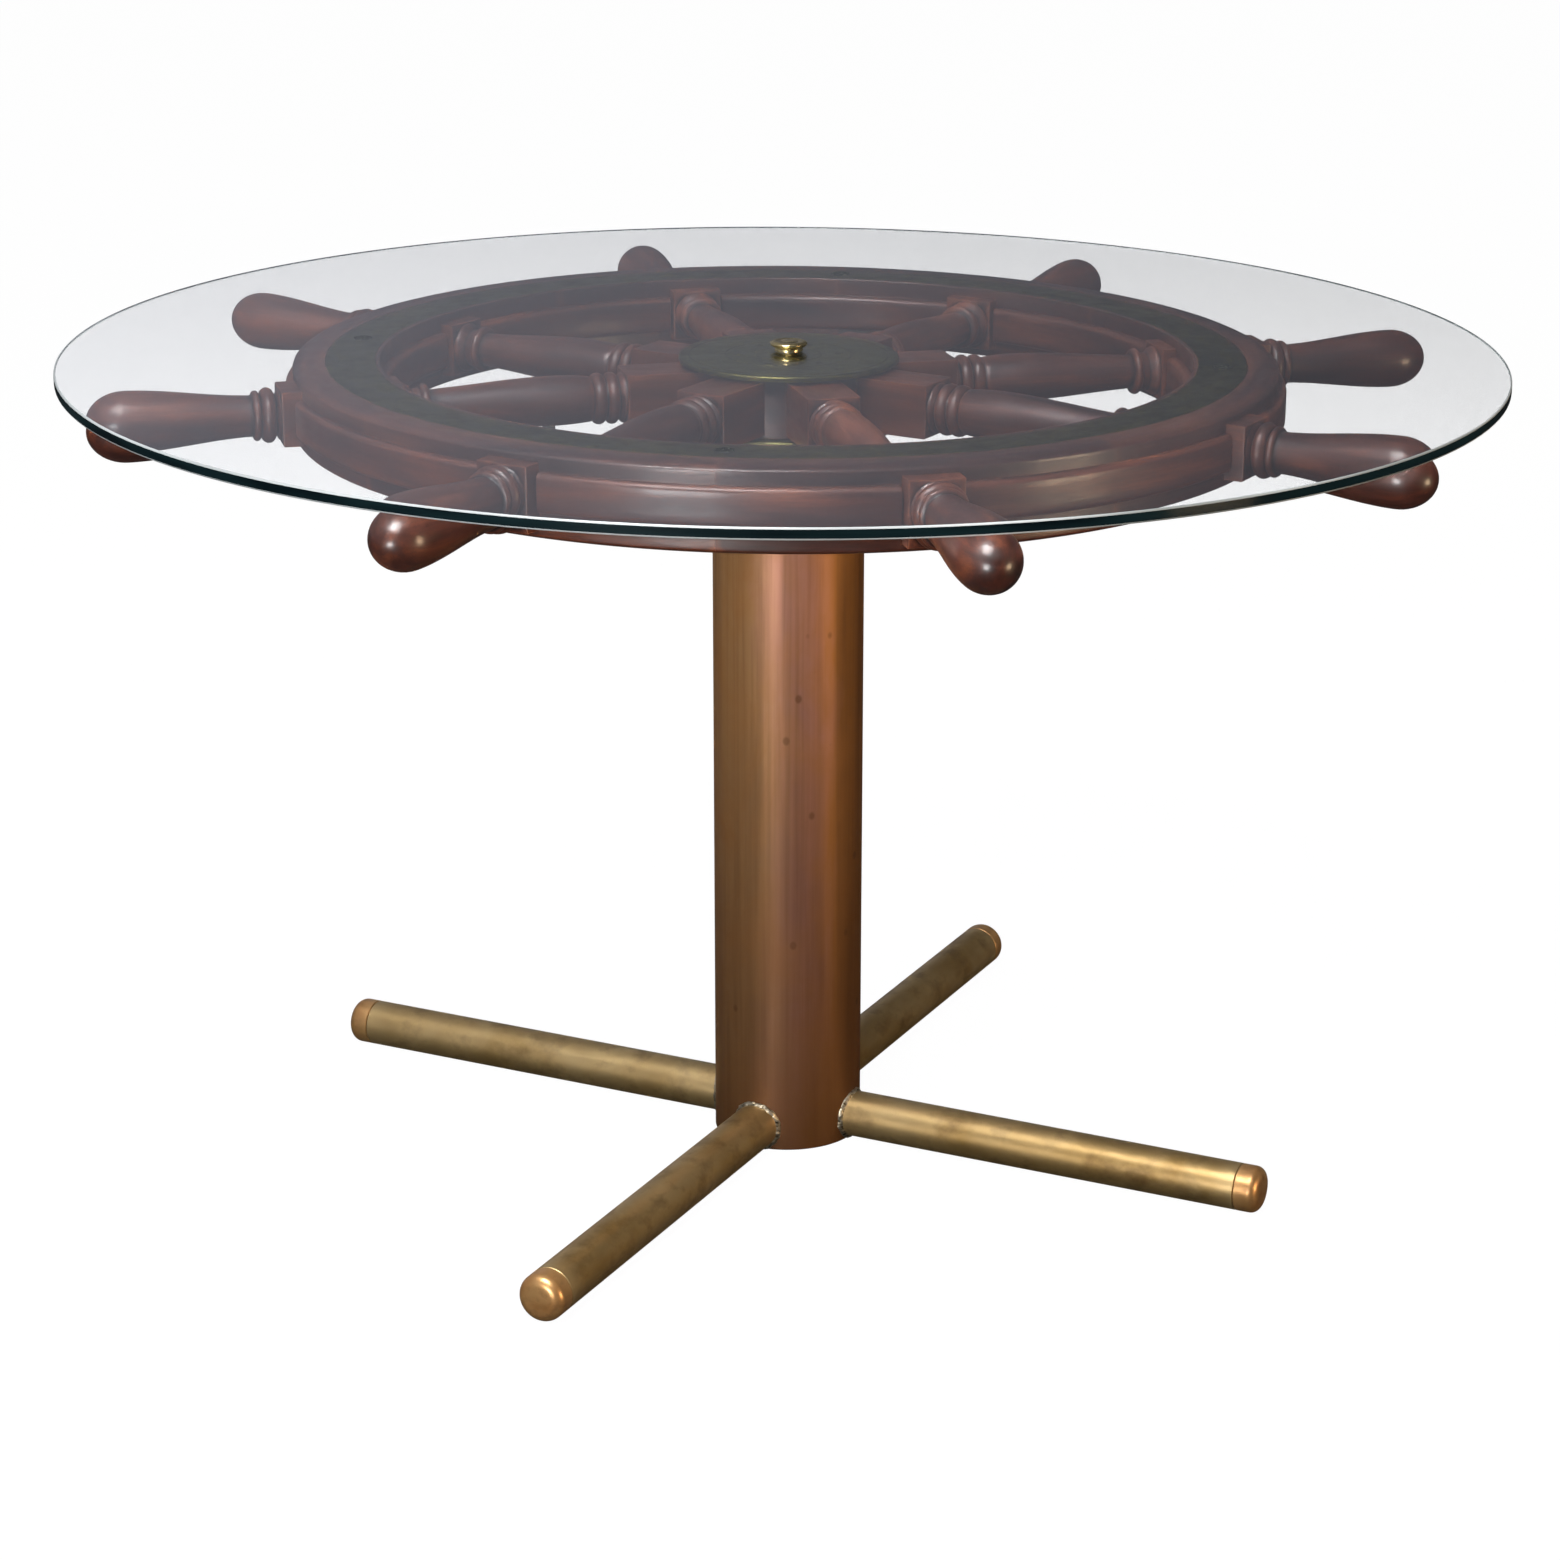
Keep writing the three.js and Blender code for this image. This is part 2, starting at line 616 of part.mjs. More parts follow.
/** Leg tube, coped to the outside of the column. */
function legTube() {
  const wall = tubeAlongX(LEG_RADIUS - LEG_WALL, LEG_RADIUS, COLUMN_RADIUS / 2, legTubeEnd);
  return geometryOf(wall.subtract(columnBar(COLUMN_RADIUS + FIT_GAP)));
}

/** Round-edged end cap with a spigot that plugs into the tube. */
function legCap() {
  const spigot = LEG_RADIUS - LEG_WALL - FIT_GAP;
  const round = LEG_CAP_ROUND;
  const cap = turned(
    [
      [0, legTubeEnd - LEG_CAP_SPIGOT],
      [spigot, legTubeEnd - LEG_CAP_SPIGOT],
      [spigot, legTubeEnd + FIT_GAP],
      [LEG_RADIUS, legTubeEnd + FIT_GAP],
      ...quarterArc(LEG_RADIUS - round, LEG_REACH - round, round, round, 0),
      [0, LEG_REACH],
    ],
    LEG_SEGMENTS,
  );
  cap.rotateY(Math.PI / 2);
  cap.translate(0, 0, LEG_RADIUS);
  return cap;
}

/** Bead of braze round the coped end of a leg, clear of the floor. */
function brazeBead() {
  const legClear = LEG_RADIUS + FIT_GAP;
  const columnClear = COLUMN_RADIUS + FIT_GAP;
  const collar = tubeAlongX(legClear, legClear + BRAZE_WIDTH, COLUMN_RADIUS / 2, 2 * COLUMN_RADIUS);
  const across = 4 * LEG_RADIUS;
  const deep = 2 * LEG_RADIUS;
  const belowFloor = barAlongX(0, 2 * COLUMN_RADIUS, across, deep, BRAZE_FLOOR_GAP - deep / 2);
  const bead = collar
    .intersect(columnBar(columnClear + BRAZE_WIDTH))
    .subtract(columnBar(columnClear))
    .subtract(solid(belowFloor));
  return geometryOf(bead);
}

function buildLegs() {
  const legs = new THREE.Group();
  addRing(legs, "leg", legTube(), "brass_tube", LEG_COUNT, LEG_BEARING);
  addRing(legs, "leg_cap", legCap(), "copper_cap", LEG_COUNT, LEG_BEARING);
  addRing(legs, "braze_bead", brazeBead(), "braze", LEG_COUNT, LEG_BEARING);
  return legs;
}

// ---------------------------------------------------------------------------------------------
// The table
// ---------------------------------------------------------------------------------------------

const group = new THREE.Group();
group.add(buildLegs(), buildColumn(), buildWheel(), buildTop());

export default group;
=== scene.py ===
"""A pedestal table made from an eight-spoke ship's wheel.

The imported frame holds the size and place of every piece. This script gives a fine surface to each
piece that can be seen, a finish to each hidden one, and sets the table in a plain studio.
Metres, +Z up. The origin is on the floor, on the axis of the column.
"""

import logging
import math
from collections.abc import Callable, Iterable
from dataclasses import dataclass, field
from enum import Enum

import bmesh
import bpy
from mathutils import Matrix, Vector, noise

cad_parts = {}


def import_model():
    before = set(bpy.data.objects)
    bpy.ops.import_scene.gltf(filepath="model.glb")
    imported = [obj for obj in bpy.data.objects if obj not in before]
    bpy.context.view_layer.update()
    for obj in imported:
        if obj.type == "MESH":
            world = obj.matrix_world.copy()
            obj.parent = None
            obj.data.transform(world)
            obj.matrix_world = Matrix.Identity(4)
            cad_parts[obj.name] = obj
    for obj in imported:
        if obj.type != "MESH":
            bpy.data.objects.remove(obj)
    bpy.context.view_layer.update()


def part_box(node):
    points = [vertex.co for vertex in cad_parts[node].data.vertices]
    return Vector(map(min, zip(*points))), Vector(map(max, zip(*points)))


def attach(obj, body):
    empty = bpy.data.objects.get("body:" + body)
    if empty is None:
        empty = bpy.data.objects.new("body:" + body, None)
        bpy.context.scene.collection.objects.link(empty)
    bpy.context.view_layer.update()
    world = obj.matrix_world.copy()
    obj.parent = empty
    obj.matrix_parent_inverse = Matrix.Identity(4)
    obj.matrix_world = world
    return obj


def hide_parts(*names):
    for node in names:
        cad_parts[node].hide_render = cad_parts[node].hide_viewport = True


log = logging.getLogger("wheel_table")

GRAIN = "grain"  # vector attribute: how far along, across and through the stuff a point lies
CRESTS_AND_CREASES = "crests_and_creases"  # number attribute: above zero on proud edges, below zero in creases, which the wood darkens as painted shade
CORNER_DIGITS = 5  # corners that agree to a hundredth of a millimetre count as one
PATTERN_STEP = Vector((3.1, 1.7, 2.3))  # how far a pattern moves from one seed to the next
TURN_GAIN = 0.7  # value gained for each radian by which the edges at a point turn
FLAT_VALUE = -0.15  # value of a flat face
SQUARE = 60.0  # the edges of a squared block turn by more degrees than this
SPOKES = 8
BLOCK_SIDE = 0.048  # side of the square blocks of the spokes
FIT = 0.0003  # play round a piece that sits in another
TINY = 1e-6

Colour = tuple[float, float, float]
Repeats = tuple[float, float, float]  # how many times a pattern repeats in a metre each way
Input = float | tuple[float, ...] | bpy.types.NodeSocket
WHITE: Colour = (1.0, 1.0, 1.0)


class Body(Enum):
    """The bodies of the frame that pieces ride on."""

    PEDESTAL = "pedestal"
    WHEEL = "wheel"
    TABLETOP = "tabletop"


class Seed(Enum):
    """Where each kind of piece starts in the run of patterns, so that no two pieces look alike."""

    UPPER_FACING = 0.5
    RING = 1.0
    RING_SCREWS = 2.0
    LOWER_FACING = 20.5
    FELLOE = 40.0
    NAVE = 61.0
    LEG = 70.0
    CAP = 80.0
    BEAD = 90.0


# ---------------------------------------------------------------------------------------------
# Measuring the frame
# ---------------------------------------------------------------------------------------------


@dataclass(frozen=True)
class Span:
    """Reach of a frame node about the axis of the table, and its levels."""

    inner: float
    outer: float
    low: float
    high: float

    @property
    def middle(self) -> float:
        """Level half-way up the node."""
        return (self.low + self.high) / 2


def corners_of(node: str) -> set[tuple[float, float, float]]:
    """Every corner of a frame node once, rounded to a hundredth of a millimetre."""
    vertices = bpy.data.objects[node].data.vertices
    return {tuple(round(c, CORNER_DIGITS) for c in vertex.co) for vertex in vertices}


def span_of(node: str) -> Span:
    """Measure a frame node about the axis of the table.

    Args:
        node: Name of the node.

    Returns:
        Its inner and outer radius and its lowest and highest level.
    """
    lowest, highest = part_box(node)
    radii = [math.hypot(x, y) for x, y, _ in corners_of(node)]
    return Span(min(radii), max(radii), lowest.z, highest.z)


def bearing_of(node: str) -> float:
    """Bearing of a node's middle from the axis of the table, in radians from +X."""
    corners = corners_of(node)
    return math.atan2(sum(corner[1] for corner in corners), sum(corner[0] for corner in corners))


# ---------------------------------------------------------------------------------------------
# Outlines
# ---------------------------------------------------------------------------------------------


class Outline:
    """Outline of a turned piece, as a run of (radius, height) points along its axis."""

    def __init__(self, radius: float, height: float) -> None:
        """Start the outline at one point."""
        self.points: list[tuple[float, float]] = [(radius, height)]

    def to(self, radius: float, height: float) -> "Outline":
        """Run straight to a point."""
        self.points.append((radius, height))
        return self

    def bead(self, length: float, swell: float, steps: int = 8) -> "Outline":
        """Run up the axis over a half-round bead.

        Args:
            length: How far along the axis the bead reaches.
            swell: How far it stands out.
            steps: Straight steps round it.

        Returns:
            The outline itself.
        """
        radius, height = self.points[-1]
        for step in range(1, steps + 1):
            angle = math.pi * step / steps
            out = radius + swell * math.sin(angle)
            self.to(out, height + length * (1 - math.cos(angle)) / 2)
        return self

    def flow(self, radius: float, height: float, lead_in: float = 0.0, lead_out: float = 0.0,
             steps: int = 12) -> "Outline":
        """Run along a smooth curve to a point.

        Args:
            radius: Radius at the end.
            height: Height at the end.
            lead_in: Change of radius with height at the start.
            lead_out: Change of radius with height at the end.
            steps: Straight steps along it.

        Returns:
            The outline itself.
        """
        first, foot = self.points[-1]
        rise = height - foot
        for step in range(1, steps + 1):
            t = step / steps
            ease = t * t * (3 - 2 * t)
            bow = rise * (lead_in * t * (1 - t) ** 2 - lead_out * t * t * (1 - t))
            self.to(first + (radius - first) * ease + bow, foot + rise * t)
        return self

    def arc(self, radius: float, height: float, flat_start: bool, steps: int = 6) -> "Outline":
        """Round a corner with a quarter of an ellipse.

        Args:
            radius: Radius at the end.
            height: Height at the end.
            flat_start: Whether the corner leaves across the axis rather than along it.
            steps: Straight steps round it.

        Returns:
            The outline itself.
        """
        first, foot = self.points[-1]
        for step in range(1, steps + 1):
            angle = math.pi / 2 * step / steps
            sine, rest = math.sin(angle), 1 - math.cos(angle)
            across, along = (sine, rest) if flat_start else (rest, sine)
            self.to(first + (radius - first) * across, foot + (height - foot) * along)
        return self


def bar_outline(inner: float, outer: float, low: float, high: float, round_by: float) -> Outline:
    """Section of a ring with four rounded edges, and points beside them that keep their wear there.

    Args:
        inner: Inner radius.
        outer: Outer radius.
        low: Lowest level.
        high: Highest level.
        round_by: Radius of the edges.

    Returns:
        The closed outline, without its first point repeated.
    """
    steps = 3
    guard = min(2 * round_by, (high - low) / 3, (outer - inner) / 3)
    outline = Outline(inner + round_by, low).to(inner + guard, low).to(outer - guard, low)
    outline.to(outer - round_by, low).arc(outer, low + round_by, True, steps)
    outline.to(outer, low + guard).to(outer, high - guard).to(outer, high - round_by)
    outline.arc(outer - round_by, high, False, steps).to(outer - guard, high).to(inner + guard, high)
    outline.to(inner + round_by, high).arc(inner, high - round_by, True, steps)
    outline.to(inner, high - guard).to(inner, low + guard).to(inner, low + round_by)
    outline.arc(inner + round_by, low, False, steps)
    outline.points.pop()
    return outline


# ---------------------------------------------------------------------------------------------
# Shapes
# ---------------------------------------------------------------------------------------------


def swept(outline: Outline, steps: int, angle: float = math.tau,
          closed: bool = False) -> bmesh.types.BMesh:
    """Spin an outline about +Z.

    Args:
        outline: The outline, in the plane of X and Z.
        steps: Steps of the spin.
        angle: How far to spin. Less than a full turn starts at minus half of it and gets flat ends.
        closed: Whether the outline's last point joins its first.

    Returns:
        The closed shape.
    """
    shape = bmesh.new()
    full = angle >= math.tau
    start = 0.0 if full else -angle / 2
    verts = [shape.verts.new((r * math.cos(start), r * math.sin(start), z)) for r, z in outline.points]
    pairs = list(zip(verts, verts[1:]))
    if closed:
        pairs.append((verts[-1], verts[0]))
    edges = [shape.edges.new(pair) for pair in pairs]
    bmesh.ops.spin(shape, geom=verts + edges, cent=(0, 0, 0), axis=(0, 0, 1), dvec=(0, 0, 0),
                   angle=angle, steps=steps, use_merge=full, use_normal_flip=False, use_duplicate=False)
    bmesh.ops.remove_doubles(shape, verts=shape.verts, dist=TINY)
    if not full:
        bmesh.ops.holes_fill(shape, edges=[edge for edge in shape.edges if edge.is_boundary], sides=0)
    bmesh.ops.recalc_face_normals(shape, faces=shape.faces)
    return shape


def box_shape(low: Vector, high: Vector) -> bmesh.types.BMesh:
    """A box between two corners."""
    shape = bmesh.new()
    place = Matrix.Translation((low + high) / 2) @ Matrix.Diagonal((*(high - low), 1.0))
    bmesh.ops.create_cube(shape, size=1.0, matrix=place)
    return shape


def spoke_slot(near: float, far: float, level: float) -> bmesh.types.BMesh:
    """Room along +X for a spoke's square block, between two radii and centred on a level."""
    half = BLOCK_SIDE / 2 + FIT
    return box_shape(Vector((near, -half, level - half)), Vector((far, half, level + half)))


def mesh_of(name: str, shape: bmesh.types.BMesh) -> bpy.types.Mesh:
    """Make a mesh of a shape. The shape is used up."""
    mesh = bpy.data.meshes.new(name)
    shape.to_mesh(mesh)
    shape.free()
    return mesh


def put_in_scene(name: str, data: bpy.types.ID) -> bpy.types.Object:
    """Make an object of a mesh, a lamp or a camera and put it in the scene."""
    thing = bpy.data.objects.new(name, data)
    bpy.context.scene.collection.objects.link(thing)
    return thing


def soften(shape: bmesh.types.BMesh, width: float, steepest: float = 40.0, segments: int = 2,
           choose: Callable[[bmesh.types.BMEdge], bool] = lambda edge: True) -> bmesh.types.BMesh:
    """Bevel the sharp edges of a shape.

    Args:
        shape: The shape, changed in place.
        width: Width of the bevel.
        steepest: Edges that turn by fewer degrees than this stay as they are.
        segments: Facets across the bevel.
        choose: Which of the sharp edges to take.

    Returns:
        The same shape.
    """
    limit = math.radians(steepest)
    edges = [edge for edge in shape.edges if edge.calc_face_angle(0.0) > limit and choose(edge)]
    bmesh.ops.bevel(shape, geom=edges, offset=width, offset_type="OFFSET", segments=segments,
                    profile=0.5, affect="EDGES", clamp_overlap=True, material=-1)
    return shape


def slice_off(shape: bmesh.types.BMesh, point: Vector, outward: Vector) -> bmesh.types.BMesh:
    """Cut away what lies beyond a plane and close the cut.

    Args:
        shape: The shape, changed in place.
        point: A point of the plane.
        outward: Direction of the part that goes.

    Returns:
        The same shape.
    """
    bmesh.ops.bisect_plane(shape, geom=[*shape.verts, *shape.edges, *shape.faces], dist=TINY,
                           plane_co=point, plane_no=outward, clear_outer=True)
    bmesh.ops.holes_fill(shape, edges=[edge for edge in shape.edges if edge.is_boundary], sides=0)
    bmesh.ops.recalc_face_normals(shape, faces=shape.faces)
    return shape


def carve(body: bmesh.types.BMesh, cutter: bmesh.types.BMesh) -> bmesh.types.BMesh:
    """Cut one closed shape out of another. Both are used up.

    Args:
        body: The shape to cut.
        cutter: The shape to cut away.

    Returns:
        What is left of the body.
    """
    blanks = [put_in_scene("blank", mesh_of("blank", shape)) for shape in (body, cutter)]
    cut = blanks[0].modifiers.new("cut", "BOOLEAN")
    cut.operation = "DIFFERENCE"
    cut.solver = "EXACT"
    cut.object = blanks[1]
    bpy.context.view_layer.update()
    carved = bmesh.new()
    carved.from_mesh(blanks[0].evaluated_get(bpy.context.evaluated_depsgraph_get()).to_mesh())
    for blank in blanks:
        bpy.data.meshes.remove(blank.data)
    bmesh.ops.remove_doubles(carved, verts=carved.verts, dist=TINY)
    return carved


def turn(shape: bmesh.types.BMesh, bearing: float) -> bmesh.types.BMesh:
    """Turn a shape about the axis of the table."""
    bmesh.ops.rotate(shape, verts=shape.verts, cent=(0, 0, 0), matrix=Matrix.Rotation(bearing, 3, "Z"))
    return shape


def lay_flat(shape: bmesh.types.BMesh, level: float) -> bmesh.types.BMesh:
    """Lay a shape that was turned about +Z along +X, with its axis at a level."""
    bmesh.ops.rotate(shape, verts=shape.verts, cent=(0, 0, 0),
                     matrix=Matrix.Rotation(math.pi / 2, 3, "Y"))
    bmesh.ops.translate(shape, verts=shape.verts, vec=(0, 0, level))
    return shape


def gather(shapes: Iterable[bmesh.types.BMesh]) -> bmesh.types.BMesh:
    """Put several shapes into one. The shapes are used up."""
    whole = bmesh.new()
    for shape in shapes:
        mesh = mesh_of("part", shape)
        whole.from_mesh(mesh)
        bpy.data.meshes.remove(mesh)
    return whole


def mark_grain(shape: bmesh.types.BMesh, place: Callable[[Vector], Vector],
               seed: float) -> bmesh.types.BMesh:
    """Write where each point lies in the stuff that the piece is made of.

    Args:
        shape: The shape, changed in place.
        place: Gives a point's place along, across and through the grain.
        seed: Moves the pattern, so that no two pieces look alike.

    Returns:
        The same shape.
    """
    layer = shape.verts.layers.float_vector.get(GRAIN) or shape.verts.layers.float_vector.new(GRAIN)
    offset = PATTERN_STEP * seed
    for vert in shape.verts:
        vert[layer] = place(vert.co) + offset
    return shape


def along_x(level: float) -> Callable[[Vector], Vector]:
    """Grain that runs along +X, measured from an axis at a level."""
    return lambda point: Vector((point.x, point.y, point.z - level))


def round_axis(radius: float) -> Callable[[Vector], Vector]:
    """Grain that follows a bend round the axis of the table at a radius."""
    return lambda point: Vector((math.atan2(point.y, point.x) * radius, point.xy.length, point.z))


def mark_crests_and_creases(shape: bmesh.types.BMesh) -> None:
    """Write how proud or sunk each point is, from the angles of the edges that meet there."""
    layer = shape.verts.layers.float.get(CRESTS_AND_CREASES) or shape.verts.layers.float.new(CRESTS_AND_CREASES)
    for vert in shape.verts:
        angles = [edge.calc_face_angle_signed(0.0) for edge in vert.link_edges]
        vert[layer] = max(-1.0, min(1.0, sum(angles, 0.0) * TURN_GAIN + FLAT_VALUE))


# ---------------------------------------------------------------------------------------------
# Finishes
# ---------------------------------------------------------------------------------------------


class Recipe:
    """Node tree of one material or of the world."""

    MIX_INPUTS = (0, 6, 7)  # amount, first colour and second colour of a node that mixes colours
    MIX_OUTPUT = 2
    CLOUD_ROUGHNESS = 0.55

    def __init__(self, name: str, owner: bpy.types.World | None = None) -> None:
        """Start an empty material, or an empty tree in a world."""
        self.material = owner or bpy.data.materials.new(name)
        self.material.use_nodes = True
        self.tree = self.material.node_tree
        self.tree.nodes.clear()

    def add(self, kind: str, settings: dict[str, str] | None = None,
            **inputs: Input) -> bpy.types.Node:
        """Add a node.

        Args:
            kind: Node type without its ShaderNode prefix.
            settings: Properties of the node.
            **inputs: Values or sockets for its inputs, with underscores for spaces.

        Returns:
            The node.
        """
        node = self.tree.nodes.new("ShaderNode" + kind)
        for name, value in (settings or {}).items():
            setattr(node, name, value)
        for name, value in inputs.items():
            socket = node.inputs[name.replace("_", " ")]
            if isinstance(value, bpy.types.NodeSocket):
                self.tree.links.new(value, socket)
            else:
                socket.default_value = value
        return node

    def place(self, attribute: str | None, scale: Repeats) -> bpy.types.NodeSocket:
        """Coordinates of a pattern.

        Args:
            attribute: Attribute to read, or None for the object's own coordinates.
            scale: How many times the pattern repeats in a metre each way.

        Returns:
            The scaled coordinates.
        """
        if attribute:
            source = self.add("Attribute", {"attribute_name": attribute}).outputs["Vector"]
        else:
            source = self.add("TexCoord").outputs["Object"]
        return self.add("Mapping", Vector=source, Scale=scale).outputs["Vector"]

    def speckle(self, place: bpy.types.NodeSocket, detail: float = 5.0,
                distortion: float = 0.0) -> bpy.types.NodeSocket:
        """Cloudy pattern from 0 to 1."""
        return self.add("TexNoise", Vector=place, Scale=1.0, Detail=detail, Distortion=distortion,
                        Roughness=self.CLOUD_ROUGHNESS).outputs["Fac"]

    def window(self, value: bpy.types.NodeSocket, low: float, high: float, start: float = 0.0,
               end: float = 1.0) -> bpy.types.NodeSocket:
        """Stretch the part of a value between low and high over start to end."""
        return self.add("MapRange", Value=value, From_Min=low, From_Max=high, To_Min=start,
                        To_Max=end).outputs["Result"]

    def ramp(self, value: bpy.types.NodeSocket, stops: list[tuple[float, Colour]]) -> bpy.types.NodeSocket:
        """Colour that follows a value through several stops."""
        node = self.add("ValToRGB", Fac=value)
        elements = node.color_ramp.elements
        while len(elements) < len(stops):
            elements.new(0.5)
        for element, (position, colour) in zip(elements, stops):
            element.position = position
            element.color = (*colour, 1.0)
        return node.outputs["Color"]

    def mix(self, amount: Input, first: Input, second: Input) -> bpy.types.NodeSocket:
        """Blend two colours."""
        node = self.add("Mix", {"data_type": "RGBA"})
        for index, value in zip(self.MIX_INPUTS, (amount, first, second)):
            if isinstance(value, bpy.types.NodeSocket):
                self.tree.links.new(value, node.inputs[index])
            elif index:
                node.inputs[index].default_value = (*value, 1.0)
            else:
                node.inputs[index].default_value = value
        return node.outputs[self.MIX_OUTPUT]

    def blend(self, amount: bpy.types.NodeSocket, first: bpy.types.NodeSocket,
              second: bpy.types.NodeSocket) -> bpy.types.NodeSocket:
        """Blend two shaders."""
        node = self.add("MixShader")
        for socket, source in zip(node.inputs, (amount, first, second)):
            self.tree.links.new(source, socket)
        return node.outputs["Shader"]

    def sum(self, first: Input, second: Input, operation: str = "ADD") -> bpy.types.NodeSocket:
        """Add two numbers, or multiply them."""
        node = self.add("Math", {"operation": operation})
        for socket, value in zip(node.inputs, (first, second)):
            if isinstance(value, bpy.types.NodeSocket):
                self.tree.links.new(value, socket)
            else:
                socket.default_value = value
        return node.outputs[0]

    def crests_and_creases(self) -> bpy.types.NodeSocket:
        """How proud or sunk the surface is."""
        return self.add("Attribute", {"attribute_name": CRESTS_AND_CREASES}).outputs["Fac"]

    def bump(self, height: bpy.types.NodeSocket, distance: float, strength: float,
             over: bpy.types.NodeSocket | None = None) -> bpy.types.NodeSocket:
        """Surface relief from a height, laid over another relief where one is given."""
        inputs: dict[str, Input] = {"Height": height, "Distance": distance, "Strength": strength}
        if over is not None:
            inputs["Normal"] = over
        return self.add("Bump", **inputs).outputs["Normal"]

    def principled(self, **inputs: Input) -> bpy.types.NodeSocket:
        """The main shader."""
        return self.add("BsdfPrincipled", **inputs).outputs["BSDF"]

    def finish(self, surface: bpy.types.NodeSocket) -> bpy.types.Material:
        """Join the surface to the output and hand the material over."""
        self.add("OutputMaterial", Surface=surface)
        return self.material


@dataclass(frozen=True)
class Finish:
    """A finish, with the record's slot that it belongs to."""

    name: str
    slot: str

    def material(self) -> bpy.types.Material:
        """The finish's material, made once."""
        return bpy.data.materials.get(self.name) or self.mix_up()

    def mix_up(self) -> bpy.types.Material:
        """Make the material."""
        raise NotImplementedError


@dataclass(frozen=True)
class VarnishedWood(Finish):
    """Old varnished mahogany with ribbon figure, open pores and painted shade that darkens its creases."""

    dark: Colour = (0.014, 0.005, 0.004)
    middle: Colour = (0.062, 0.016, 0.009)
    light: Colour = (0.19, 0.05, 0.018)
    pore: Colour = (0.012, 0.004, 0.003)
    crease_shade: Colour = (0.008, 0.004, 0.003)
    varnish: float = 0.42
    varnish_roughness: float = 0.16
    figure_repeats: Repeats = (3.5, 55.0, 55.0)
    cloud_repeats: Repeats = (5.0, 14.0, 14.0)
    streak_repeats: Repeats = (14.0, 330.0, 330.0)
    pore_repeats: Repeats = (70.0, 1900.0, 1900.0)
    gloss_repeats: Repeats = (25.0, 60.0, 60.0)
    wave_repeats: Repeats = (18.0, 45.0, 45.0)
    pore_depth: float = 0.00012
    wave_depth: float = 0.0006
    relief: float = 0.35

    def mix_up(self) -> bpy.types.Material:
        """Make the material."""
        recipe = Recipe(self.name)
        figure = recipe.speckle(recipe.place(GRAIN, self.figure_repeats), 6.0, 0.6)
        clouds = recipe.speckle(recipe.place(GRAIN, self.cloud_repeats), 3.0)
        streaks = recipe.speckle(recipe.place(GRAIN, self.streak_repeats), 4.0)
        pores = recipe.speckle(recipe.place(GRAIN, self.pore_repeats), 2.0)
        tone = recipe.sum(recipe.sum(figure, 0.6, "MULTIPLY"), recipe.sum(clouds, 0.4, "MULTIPLY"))
        wood = recipe.ramp(tone, [(0.34, self.dark), (0.5, self.middle), (0.68, self.light)])
        wood = recipe.mix(recipe.window(streaks, 0.35, 0.7, 0.0, 0.45), wood, self.dark)
        wood = recipe.mix(recipe.window(pores, 0.56, 0.66, 0.0, 0.6), wood, self.pore)
        crests_and_creases = recipe.crests_and_creases()
        wood = recipe.mix(recipe.window(crests_and_creases, 0.25, 1.0, 0.0, 0.45), wood, self.light)
        # painted shade: the creases are darkened to near black
        wood = recipe.mix(recipe.window(crests_and_creases, -0.12, -0.7, 0.0, 0.85), wood, self.crease_shade)
        sheen = recipe.speckle(recipe.place(GRAIN, self.gloss_repeats))
        roughness = recipe.window(sheen, 0.3, 0.7, 0.3, 0.5)
        relief = recipe.bump(pores, self.pore_depth, self.relief)
        waves = recipe.speckle(recipe.place(GRAIN, self.wave_repeats), 2.0)
        relief = recipe.bump(waves, self.wave_depth, self.relief, relief)
        surface = recipe.principled(Base_Color=wood, Roughness=roughness, Normal=relief,
                                    Coat_Weight=self.varnish, Coat_Normal=relief,
                                    Coat_Roughness=self.varnish_roughness)
        return recipe.finish(surface)


class Lay(Enum):
    """How the fine scratches of a metal run."""

    ROUND = "round the axis"
    ALONG = "along the piece"


